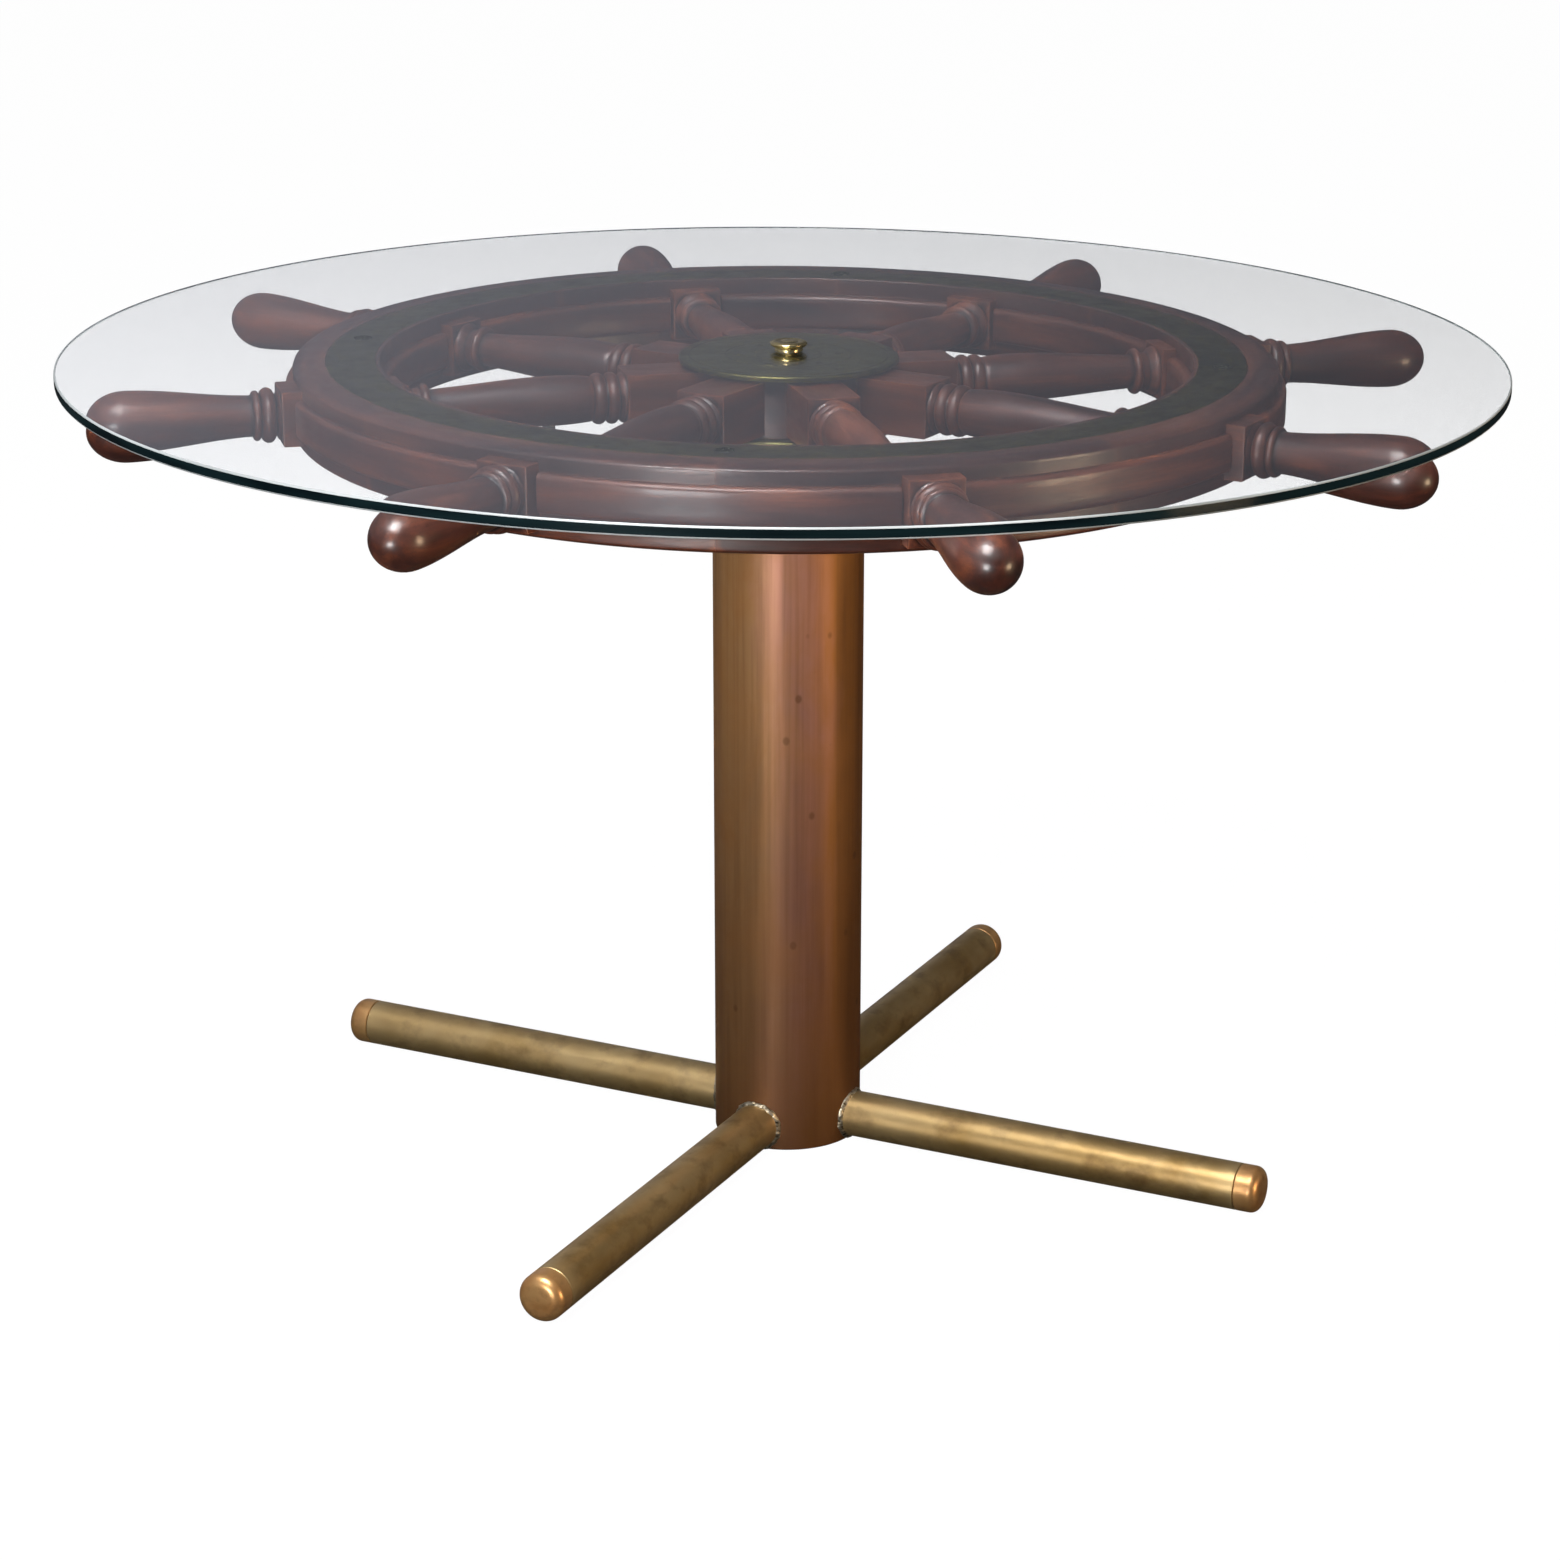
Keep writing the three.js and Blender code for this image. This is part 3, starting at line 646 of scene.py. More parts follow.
@dataclass(frozen=True)
class AgedMetal(Finish):
    """Aged copper alloy with mottled patina, fine scratches and bright or dark edges."""

    base: Colour = (0.4, 0.34, 0.15)
    bright: Colour = (0.6, 0.5, 0.24)
    stain: Colour = (0.1, 0.085, 0.04)
    stained: float = 0.6
    smooth: float = 0.28
    rough: float = 0.46
    lay: Lay = Lay.ALONG
    mottle: float = 24.0
    lacquer: float = 0.0
    lacquer_roughness: float = 0.28
    bare: float = 1.0
    scratch_repeats: Repeats = (30.0, 1400.0, 1400.0)
    scratch_rings: float = 260.0
    scratch_gloss: float = 0.06
    scratch_depth: float = 0.00004
    mottle_depth: float = 0.0004

    def mix_up(self) -> bpy.types.Material:
        """Make the material."""
        recipe = Recipe(self.name)
        source = GRAIN if self.lay is Lay.ALONG else None
        scale = self.mottle
        clouds = recipe.speckle(recipe.place(source, (scale * 0.6, scale, scale)), 6.0, 0.4)
        stains = recipe.speckle(recipe.place(source, (scale * 2.0, scale * 2.6, scale * 2.6)), 7.0)
        if self.lay is Lay.ALONG:
            scratches = recipe.speckle(recipe.place(source, self.scratch_repeats), 3.0)
        else:
            rings = recipe.add("TexWave", {"wave_type": "RINGS", "rings_direction": "Z"},
                               Vector=recipe.place(None, (1.0, 1.0, 1.0)), Scale=self.scratch_rings,
                               Distortion=1.2, Detail=3.0, Detail_Scale=3.0)
            scratches = rings.outputs["Fac"]
        metal = recipe.mix(recipe.window(clouds, 0.35, 0.68), self.base, self.bright)
        metal = recipe.mix(recipe.window(stains, 0.5, 0.72, 0.0, self.stained), metal, self.stain)
        crests_and_creases = recipe.crests_and_creases()
        metal = recipe.mix(recipe.window(crests_and_creases, 0.15, 0.9, 0.0, 0.7), metal, self.bright)
        metal = recipe.mix(recipe.window(crests_and_creases, -0.1, -0.6, 0.0, 0.9), metal, self.stain)
        gloss = recipe.sum(recipe.window(stains, 0.35, 0.75, self.smooth, self.rough),
                           recipe.sum(scratches, self.scratch_gloss, "MULTIPLY"))
        relief = recipe.bump(scratches, self.scratch_depth, 0.5)
        relief = recipe.bump(clouds, self.mottle_depth, 0.3, relief)
        surface = recipe.principled(Base_Color=metal, Metallic=self.bare, Roughness=gloss, Normal=relief,
                                    Coat_Weight=self.lacquer, Coat_Roughness=self.lacquer_roughness)
        return recipe.finish(surface)


@dataclass(frozen=True)
class StreakedBronze(Finish):
    """Lacquered bronze tube whose patina runs down it in olive, rosy and amber streaks, with painted shade
    darkening it towards the floor.
    """

    olive: Colour = (0.36, 0.185, 0.075)
    rosy: Colour = (0.37, 0.165, 0.115)
    amber: Colour = (0.3, 0.12, 0.028)
    dark: Colour = (0.085, 0.033, 0.009)
    radius: float = 0.07
    height: float = 0.68
    amber_foot: float = 0.16
    shaded_part: float = 0.8
    bare: float = 0.6
    lacquer: float = 0.12
    lacquer_roughness: float = 0.2
    drift_repeats: Repeats = (9.0, 9.0, 3.2)
    streak_repeats: Repeats = (95.0, 95.0, 2.2)
    cloud_repeats: Repeats = (16.0, 16.0, 9.0)
    spot_repeats: Repeats = (28.0, 28.0, 22.0)
    scratch_repeats: Repeats = (520.0, 520.0, 12.0)
    scratch_gloss: float = 0.08
    scratch_depth: float = 0.00005
    cloud_depth: float = 0.0008

    def mix_up(self) -> bpy.types.Material:
        """Make the material."""
        recipe = Recipe(self.name)
        across = recipe.add("SeparateXYZ", Vector=recipe.add("TexCoord").outputs["Object"]).outputs
        drift = recipe.speckle(recipe.place(None, self.drift_repeats), 5.0, 0.5)
        side = recipe.window(across["X"], -self.radius, self.radius)
        side = recipe.sum(side, recipe.window(drift, 0.3, 0.7, -0.2, 0.2))
        metal = recipe.ramp(side, [(0.22, self.olive), (0.52, self.rosy), (0.62, self.rosy),
                                   (0.82, self.amber)])
        streaks = recipe.speckle(recipe.place(None, self.streak_repeats), 5.0, 0.3)
        metal = recipe.mix(recipe.window(streaks, 0.4, 0.68, 0.0, 0.5), metal, self.dark)
        clouds = recipe.speckle(recipe.place(None, self.cloud_repeats), 6.0, 0.8)
        metal = recipe.mix(recipe.window(clouds, 0.42, 0.66, 0.0, 0.45), metal, self.amber)
        spots = recipe.add("TexVoronoi", Vector=recipe.place(None, self.spot_repeats), Scale=1.0,
                           Randomness=1.0).outputs["Distance"]
        metal = recipe.mix(recipe.window(spots, 0.11, 0.06, 0.0, 0.55), metal, self.dark)
        # the bottom of the tube is mixed towards amber, most at the floor
        foot = recipe.window(across["Z"], self.height * self.amber_foot, 0.0, 0.0, 0.5)
        metal = recipe.mix(foot, metal, self.amber)
        # painted shade: below the shaded part of its height the tube darkens steadily towards the floor
        shade = recipe.window(across["Z"], self.height * self.shaded_part, 0.0, 0.0, 0.8)
        metal = recipe.mix(shade, metal, self.dark)
        fine = recipe.speckle(recipe.place(None, self.scratch_repeats), 3.0)
        gloss = recipe.sum(recipe.window(clouds, 0.3, 0.7, 0.36, 0.5),
                           recipe.sum(fine, self.scratch_gloss, "MULTIPLY"))
        relief = recipe.bump(fine, self.scratch_depth, 0.5)
        relief = recipe.bump(clouds, self.cloud_depth, 0.25, relief)
        surface = recipe.principled(Base_Color=metal, Metallic=self.bare, Roughness=gloss, Normal=relief,
                                    Coat_Weight=self.lacquer, Coat_Roughness=self.lacquer_roughness)
        return recipe.finish(surface)


@dataclass(frozen=True)
class PlateGlass(Finish):
    """Clear plate glass that lets lamp light through to what lies under it."""

    tint: Colour = (0.985, 0.99, 0.995)
    shadow_tint: Colour = (0.62, 0.64, 0.65)

    def mix_up(self) -> bpy.types.Material:
        """Make the material."""
        recipe = Recipe(self.name)
        glass = recipe.principled(Base_Color=(*self.tint, 1.0), Roughness=0.0, IOR=1.5,
                                  Transmission_Weight=1.0)
        clear = recipe.add("BsdfTransparent", Color=(*self.shadow_tint, 1.0)).outputs["BSDF"]
        shadow = recipe.add("LightPath").outputs["Is Shadow Ray"]
        return recipe.finish(recipe.blend(shadow, glass, clear))


@dataclass(frozen=True)
class GlassEdge(Finish):
    """Polished edge of thick glass, painted near-black teal: painted shade standing in for the light that is
    caught inside it.
    """

    deep: Colour = (0.001, 0.003, 0.004)
    lit: Colour = (0.004, 0.012, 0.014)

    def mix_up(self) -> bpy.types.Material:
        """Make the material."""
        recipe = Recipe(self.name)
        depth = recipe.speckle(recipe.place(None, (7.0, 7.0, 60.0)), 2.0)
        colour = recipe.mix(recipe.window(depth, 0.35, 0.7), self.deep, self.lit)
        return recipe.finish(recipe.principled(Base_Color=colour, Roughness=0.06, IOR=1.5))


@dataclass(frozen=True)
class ArrisHighlight(Finish):
    """Corner of the glass's edge, painted as a pale line: a painted highlight where the corner would catch
    the light.
    """

    pale: Colour = (0.5, 0.53, 0.54)
    dull: Colour = (0.2, 0.22, 0.22)

    def mix_up(self) -> bpy.types.Material:
        """Make the material."""
        recipe = Recipe(self.name)
        drift = recipe.speckle(recipe.place(None, (2.4, 2.4, 2.4)), 2.0)
        # painted highlight: pale where the drift is high, dull elsewhere
        colour = recipe.mix(recipe.window(drift, 0.4, 0.62), self.dull, self.pale)
        return recipe.finish(recipe.principled(Base_Color=colour, Roughness=0.3, IOR=1.5))


@dataclass(frozen=True)
class ClearRubber(Finish):
    """Soft clear bumper."""

    tint: Colour = (0.3, 0.3, 0.27)

    def mix_up(self) -> bpy.types.Material:
        """Make the material."""
        recipe = Recipe(self.name)
        haze = recipe.speckle(recipe.place(None, (300.0, 300.0, 300.0)))
        gloss = recipe.window(haze, 0.3, 0.7, 0.16, 0.3)
        surface = recipe.principled(Base_Color=(*self.tint, 1.0), Roughness=gloss, IOR=1.45,
                                    Transmission_Weight=0.9)
        return recipe.finish(surface)


MAHOGANY = VarnishedWood("varnished_mahogany", "mahogany")
RIM_MAHOGANY = VarnishedWood("shaded_mahogany", "dark_mahogany", middle=(0.045, 0.013, 0.009),
                             light=(0.11, 0.035, 0.017))
RING_BRASS = AgedMetal("ring_brass", "old_brass", base=(0.1, 0.088, 0.022), bright=(0.19, 0.165, 0.055),
                       stain=(0.03, 0.024, 0.01), mottle=18.0)
PLATE_BRASS = AgedMetal("plate_brass", "old_brass", base=(0.115, 0.104, 0.03), bright=(0.21, 0.188, 0.07),
                        stain=(0.038, 0.031, 0.013), lay=Lay.ROUND, mottle=22.0)
BRIGHT_BRASS = AgedMetal("handled_brass", "bright_brass", base=(0.6, 0.47, 0.22), bright=(0.78, 0.63, 0.34),
                         stained=0.3, smooth=0.16, rough=0.3, lay=Lay.ROUND, mottle=60.0)
TUBE_BRASS = AgedMetal("tube_brass", "brass_tube", base=(0.35, 0.215, 0.07), bright=(0.53, 0.37, 0.17),
                       stain=(0.085, 0.042, 0.012), smooth=0.36, rough=0.5, mottle=15.0, lacquer=0.3,
                       bare=0.9)
CAP_COPPER = AgedMetal("cap_copper", "copper_cap", base=(0.42, 0.2, 0.065), bright=(0.55, 0.31, 0.12),
                       stain=(0.14, 0.07, 0.03), stained=0.5, mottle=40.0, lacquer=0.3, bare=0.75)
# the bright patches of the braze's mottle are painted glints: painted highlights on the lumpy bead
BRAZE = AgedMetal("braze_metal", "braze", base=(0.22, 0.17, 0.1), bright=(0.55, 0.48, 0.36),
                  stain=(0.035, 0.028, 0.02), smooth=0.25, rough=0.6, mottle=160.0)
STEEL = AgedMetal("dark_steel", "steel", base=(0.2, 0.2, 0.2), bright=(0.34, 0.34, 0.34),
                  stain=(0.05, 0.045, 0.04), lay=Lay.ROUND, mottle=70.0)
COLUMN_BRONZE = StreakedBronze("column_bronze", "bronze_tube")
GLASS = PlateGlass("plate_glass", "glass")
GLASS_EDGE = GlassEdge("glass_edge", "glass")
GLASS_ARRIS_HIGHLIGHT = ArrisHighlight("glass_arris_highlight", "glass")
CLEAR_PAD = ClearRubber("bumper_rubber", "clear_pad")


# ---------------------------------------------------------------------------------------------
# Pieces
# ---------------------------------------------------------------------------------------------


def add_piece(name: str, shape: bmesh.types.BMesh, body: Body, finishes: list[Finish],
              stands_for: tuple[str, ...] = (), sharper_than: float = 35.0) -> bpy.types.Object:
    """Make a shape into a finished piece of the table. The shape is used up.

    Args:
        name: Name of the piece.
        shape: The shape, in place.
        body: Body that it rides on.
        finishes: Finishes, in the order of the faces' material numbers.
        stands_for: Frame nodes that it replaces.
        sharper_than: Edges that turn by more degrees than this stay crisp.

    Returns:
        The piece.
    """
    limit = math.radians(sharper_than)
    for face in shape.faces:
        face.smooth = True
    for edge in shape.edges:
        edge.smooth = edge.calc_face_angle(0.0) < limit
    mark_crests_and_creases(shape)
    mesh = mesh_of(name, shape)
    for finish in finishes:
        mesh.materials.append(finish.material())
    piece = put_in_scene(name, mesh)
    even = piece.modifiers.new("even_shading", "WEIGHTED_NORMAL")
    even.keep_sharp = True
    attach(piece, body.value)
    if stands_for:
        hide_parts(*stands_for)
    log.info("%s: %d faces, for %s", name, len(mesh.polygons), ", ".join(stands_for) or "itself")
    return piece


def dress_node(node: str, finish: Finish) -> None:
    """Give a hidden frame node its finish."""
    for place in bpy.data.objects[node].material_slots:
        place.material = finish.material()
    log.info("%s: dressed with %s", node, finish.name)


def slotted_head(radius: float, height: float, slot_width: float,
                 slot_depth: float) -> bmesh.types.BMesh:
    """Round screw head with a slot, standing on level 0 with its top at a height.

    Args:
        radius: Radius of the head.
        height: Height of its top.
        slot_width: Width of the slot.
        slot_depth: Depth of the slot.

    Returns:
        The closed shape.
    """
    steps = 24
    crown = height * 0.3
    outline = Outline(0, 0).to(radius, 0).to(radius, height - crown).flow(0, height, steps=4)
    head = swept(outline, steps)
    cutter = box_shape(Vector((-2 * radius, -slot_width / 2, height - slot_depth)),
                       Vector((2 * radius, slot_width / 2, 2 * height)))
    return carve(head, cutter)


@dataclass
class GlassTop:
    """The glass plate, its bolt and the pads that it lies on."""

    steps: int = 192
    arris: float = 0.0015
    hole_radius: float = 0.009
    upright: float = 0.01
    sharper_than: float = 10.0
    bolt_steps: int = 64
    bolt_shank_radius: float = 0.0065
    bolt_chamfer: float = 0.001
    bolt_neck_radius: float = 0.0115
    bolt_neck_flare: float = 0.0015
    bolt_neck_share: float = 0.46
    bolt_groove: tuple[float, float] = (0.5, 0.42)
    bolt_groove_depth: float = 0.0006
    bolt_crown: float = 0.0002
    pads: int = 4
    pad_steps: int = 32
    pad_edge: float = 0.0003

    def plate(self) -> bmesh.types.BMesh:
        """The round plate, with its outer edge in the second finish, painted near-black teal, and that edge's
        corners in the third, a painted highlight.
        """
        glass = span_of("glass_top")
        outline = bar_outline(self.hole_radius, glass.outer, glass.low, glass.high, self.arris)
        shape = swept(outline, self.steps, closed=True)
        rim = glass.outer - self.arris
        for face in shape.faces:
            if face.calc_center_median().xy.length > rim:
                # index 1 is the painted near-black teal edge, index 2 the painted highlight on its corners
                face.material_index = 1 if abs(face.normal.z) < self.upright else 2
        return shape

    def bolt(self) -> bmesh.types.BMesh:
        """The mushroom-headed bolt, with a fine groove round its crown."""
        lowest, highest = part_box("centre_bolt")
        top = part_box("glass_top")[1].z
        head, shank = highest.x, self.bolt_shank_radius
        neck_top = top + (highest.z - top) * self.bolt_neck_share
        lip = (highest.z - neck_top) / 2
        groove_outer, groove_inner = (head * share for share in self.bolt_groove)
        outline = Outline(0, lowest.z).to(shank - self.bolt_chamfer, lowest.z)
        outline.to(shank, lowest.z + self.bolt_chamfer).to(shank, top)
        outline.to(self.bolt_neck_radius + self.bolt_neck_flare, top)
        outline.arc(self.bolt_neck_radius, neck_top, False, 5).to(head - lip, neck_top)
        outline.arc(head, neck_top + lip, True).arc(head - 2 * lip, highest.z, False)
        outline.flow(groove_outer, highest.z - self.bolt_groove_depth, steps=5)
        outline.to(groove_inner, highest.z).to(0, highest.z + self.bolt_crown)
        return swept(outline, self.bolt_steps)

    def pad(self, node: str) -> bmesh.types.BMesh:
        """One clear pad, as thick as its node."""
        lowest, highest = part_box(node)
        middle = (lowest + highest) / 2
        radius = (highest.x - lowest.x) / 2
        edge = self.pad_edge
        outline = Outline(0, lowest.z).to(radius - edge, lowest.z).to(radius, lowest.z + edge)
        outline.to(radius, highest.z - edge).to(radius - edge, highest.z).to(0, highest.z)
        shape = swept(outline, self.pad_steps)
        bmesh.ops.translate(shape, verts=shape.verts, vec=(middle.x, middle.y, 0))
        return shape

    def build(self) -> None:
        """Make every piece of the top."""
        add_piece("glass_plate", self.plate(), Body.TABLETOP, [GLASS, GLASS_EDGE, GLASS_ARRIS_HIGHLIGHT],
                  ("glass_top",), self.sharper_than)
        add_piece("mushroom_bolt", self.bolt(), Body.TABLETOP, [BRIGHT_BRASS], ("centre_bolt",))
        for number in range(1, self.pads + 1):
            node = f"glass_pad_{number}"
            add_piece(f"bumper_{number}", self.pad(node), Body.WHEEL, [CLEAR_PAD], (node,))


@dataclass
class Rim:
    """The rim: two facings, eight felloes between them and the brass ring."""

    sector: float = math.tau / SPOKES
    sector_steps: int = 40
    slot_reach: tuple[float, float] = (0.3, 0.5)
    joint_gap: float = 0.0002
    shoulder_drop: float = 0.005
    shoulder_run: float = 0.014
    edge: float = 0.0012
    felloe_round: float = 0.005
    felloe_end_gap: float = 0.002
    felloe_end_round: float = 0.007
    felloe_end_segments: int = 4
    ring_steps: int = 160
    ring_edge: float = 0.0004
    ring_screws: int = 24
    ring_screw_radius: float = 0.0032
    ring_screw_height: float = 0.0007
    ring_screw_slot: tuple[float, float] = (0.0007, 0.0004)
    ring_screw_sunk: float = 0.0004
    ring_screw_inset: float = 0.009
    ring_screw_turn: float = 2.4

    def facing_outline(self, upper: bool) -> Outline:
        """Section of a facing, which is rebated for the brass ring where it is the upper one.

        Args:
            upper: Whether it is the upper facing.

        Returns:
            The closed section.
        """
        wood = span_of("facing_top" if upper else "facing_bottom")
        ring = span_of("brass_ring")
        seat, face = (wood.low, wood.high) if upper else (wood.high, wood.low)
        inward = math.copysign(1.0, seat - face)
        guard = inward * 2 * self.edge
        outline = Outline(wood.inner, seat).to(wood.outer, seat).to(wood.outer, seat - guard)
        outline.to(wood.outer, face + inward * self.shoulder_drop + guard)
        outline.to(wood.outer, face + inward * self.shoulder_drop)
        outline.arc(wood.outer - self.shoulder_run, face, False, 8)
        if upper:
            rebate = ring.low - FIT
            outline.to(ring.outer + FIT, face).to(ring.outer + FIT, rebate)
            outline.to(ring.inner - FIT, rebate).to(ring.inner - FIT, face)
        outline.to(wood.inner + self.edge, face).arc(wood.inner, face + inward * self.edge, True, 3)
        return outline.to(wood.inner, face + inward * self.edge + guard).to(wood.inner, seat - guard)

    def facing(self, upper: bool) -> bmesh.types.BMesh:
        """A facing of eight segments that meet between the spokes.

        Args:
            upper: Whether it is the upper facing.

        Returns:
            The eight closed segments.
        """
        wood = span_of("facing_top" if upper else "facing_bottom")
        seed = Seed.UPPER_FACING if upper else Seed.LOWER_FACING
        level, first = span_of("spoke_1").middle, bearing_of("spoke_1")
        joint = self.joint_gap / wood.outer
        segments = []
        for number in range(SPOKES):
            segment = swept(self.facing_outline(upper), self.sector_steps, self.sector - joint, True)
            segment = carve(segment, spoke_slot(*self.slot_reach, level))
            mark_grain(segment, round_axis(wood.outer), number + seed.value)
            segments.append(turn(segment, first + number * self.sector))
        return gather(segments)

    def felloe(self, node: str, seed: float) -> bmesh.types.BMesh:
        """One felloe between two spoke blocks, rounded back at both ends.

        Args:
            node: Its frame node.
            seed: Number of its piece of wood.

        Returns:
            The closed shape.
        """
        wood = span_of(node)
        inner = span_of("felloe_1").inner
        outline = bar_outline(inner, wood.outer, wood.low, wood.high, self.felloe_round)
        shape = swept(outline, self.sector_steps, self.sector, True)
        back = BLOCK_SIDE / 2 + self.felloe_end_gap
        for side in (-1, 1):
            bearing = side * self.sector / 2
            outward = Vector((-math.sin(bearing), math.cos(bearing), 0)) * side
            slice_off(shape, -outward * back, outward)
        soften(shape, self.felloe_end_round, SQUARE, self.felloe_end_segments)
        mark_grain(shape, round_axis(wood.outer), seed)
        return turn(shape, bearing_of(node))

    def ring(self) -> bmesh.types.BMesh:
        """The flat brass ring."""
        brass = span_of("brass_ring")
        outline = bar_outline(brass.inner, brass.outer, brass.low, brass.high, self.ring_edge)
        return swept(outline, self.ring_steps, closed=True)

    def screws(self) -> bmesh.types.BMesh:
        """The small slotted screws of the brass ring, by turns near its outer and its inner edge."""
        brass = span_of("brass_ring")
        first, level = bearing_of("spoke_1"), brass.high - self.ring_screw_sunk
        radii = (brass.outer - self.ring_screw_inset, brass.inner + self.ring_screw_inset)
        heads = []
        for number in range(self.ring_screws):
            head = slotted_head(self.ring_screw_radius, self.ring_screw_height, *self.ring_screw_slot)
            turn(head, number * self.ring_screw_turn)
            bmesh.ops.translate(head, verts=head.verts, vec=(radii[number % 2], 0, level))
            heads.append(turn(head, first + (number + 0.5) * math.tau / self.ring_screws))
        return gather(heads)

    def build(self) -> None:
        """Make every piece of the rim."""
        add_piece("upper_facing", self.facing(True), Body.WHEEL, [RIM_MAHOGANY], ("facing_top",))
        add_piece("lower_facing", self.facing(False), Body.WHEEL, [MAHOGANY], ("facing_bottom",))
        for number in range(1, SPOKES + 1):
            node = f"felloe_{number}"
            felloe = self.felloe(node, number + Seed.FELLOE.value)
            add_piece(f"rim_felloe_{number}", felloe, Body.WHEEL, [MAHOGANY], (node,))
        ring = mark_grain(self.ring(), round_axis(span_of("brass_ring").outer), Seed.RING.value)
        add_piece("inlaid_ring", ring, Body.WHEEL, [RING_BRASS], ("brass_ring",))
        screws = mark_grain(self.screws(), lambda point: point.copy(), Seed.RING_SCREWS.value)
        add_piece("ring_screws", screws, Body.WHEEL, [RING_BRASS])


@dataclass
class Spokes:
    """Eight spokes, each turned from one square billet together with its handle."""

    steps: int = 64
    half: float = BLOCK_SIDE / 2
    hub_block: tuple[float, float] = (0.062, 0.154)
    rim_block: tuple[float, float] = (0.353, 0.461)
    belly: float = 0.0222
    throat: float = 0.0155
    neck: float = 0.018
    bulb: float = 0.027
    bulb_length: float = 0.034
    tip: float = 0.627
    step: float = 0.0015
    arris: float = 0.0014
    arris_segments: int = 2
    bolt_place: float = 0.222
    bolt_sides: int = 6
    bolt_radius: float = 0.0062
    bolt_drop: float = 0.0075
    bolt_sunk: float = 0.002
    bolt_edge: float = 0.0006

    def outline(self) -> Outline:
        """Outline of the whole billet, with its two blocks still round."""
        half, turned = self.half, self.half - self.step
        (hub_start, hub_end), (rim_start, rim_end) = self.hub_block, self.rim_block
        line = Outline(0, hub_start).to(half, hub_start).to(half, hub_end)
        # A cove and two beads beside the hub block, then the belly.
        line.to(turned, hub_end).to(turned, hub_end + self.step)
        line.flow(half - 0.0052, hub_end + 0.006, steps=5)
        line.bead(length=0.0105, swell=0.0045).to(half - 0.0055, hub_end + 0.0175)
        line.bead(length=0.0115, swell=0.0046).to(self.belly - 0.002, hub_end + 0.031)
        line.flow(self.belly, hub_end + 0.062, lead_in=0.12, steps=10)
        # The taper to the throat, one bead and the flare up to the rim block.
        line.flow(self.throat, rim_start - 0.024, lead_out=-0.045, steps=22)
        line.to(self.throat + 0.0022, rim_start - 0.0232).bead(length=0.0075, swell=0.0035)
        line.flow(half - 0.0068, rim_start - 0.0085, steps=5)
        line.flow(turned, rim_start - self.step, lead_in=0.6, steps=6).to(turned, rim_start)
        line.to(half, rim_start).to(half, rim_end).to(turned, rim_end)
        # A cove, a large bead and a small one beyond the rim block, then the handle.
        line.flow(half - 0.0062, rim_end + 0.004, steps=5)
        line.bead(length=0.0125, swell=0.0064, steps=10).to(self.neck + 0.0012, rim_end + 0.0172)
        line.bead(length=0.0062, swell=0.0028).to(self.neck, rim_end + 0.0245)
        line.flow(self.bulb, self.tip - self.bulb_length, lead_in=0.02, steps=28)
        return line.arc(0, self.tip, False, 14)

    def square_up(self, shape: bmesh.types.BMesh) -> None:
        """Push the round blocks out to a square section and soften their edges.

        Args:
            shape: The turned billet, still standing along +Z, changed in place.
        """
        squared = set()
        for start, end in (self.hub_block, self.rim_block):
            for vert in shape.verts:
                if start - TINY < vert.co.z < end + TINY and vert.co.xy.length > self.half - TINY:
                    vert.co.xy *= self.half / max(abs(vert.co.x), abs(vert.co.y))
                    squared.add(vert)
        soften(shape, self.arris, SQUARE, self.arris_segments,
               lambda edge: all(vert in squared for vert in edge.verts))

    def spoke(self, number: int) -> bmesh.types.BMesh:
        """One spoke.

        Args:
            number: Its number, from 1.

        Returns:
            The closed shape.
        """
        level = span_of("nave").middle
        shape = swept(self.outline(), self.steps)
        self.square_up(shape)
        lay_flat(shape, level)
        mark_grain(shape, along_x(level), number)
        return turn(shape, bearing_of(f"spoke_{number}"))

    def bolt(self) -> bmesh.types.BMesh:
        """The small dark bolt head under one spoke."""
        belly = span_of("nave").middle - self.belly
        foot, root = belly - self.bolt_drop, belly + self.bolt_sunk
        outline = Outline(0, foot).to(self.bolt_radius, foot).to(self.bolt_radius, root).to(0, root)
        shape = soften(swept(outline, self.bolt_sides), self.bolt_edge)
        bmesh.ops.translate(shape, verts=shape.verts, vec=(self.bolt_place, 0, 0))
        return turn(shape, bearing_of("spoke_6"))

    def build(self) -> None:
        """Make every spoke."""
        for number in range(1, SPOKES + 1):
            node = f"spoke_{number}"
            add_piece(f"turned_spoke_{number}", self.spoke(number), Body.WHEEL, [MAHOGANY], (node,))
        add_piece("spoke_bolt", self.bolt(), Body.WHEEL, [STEEL])


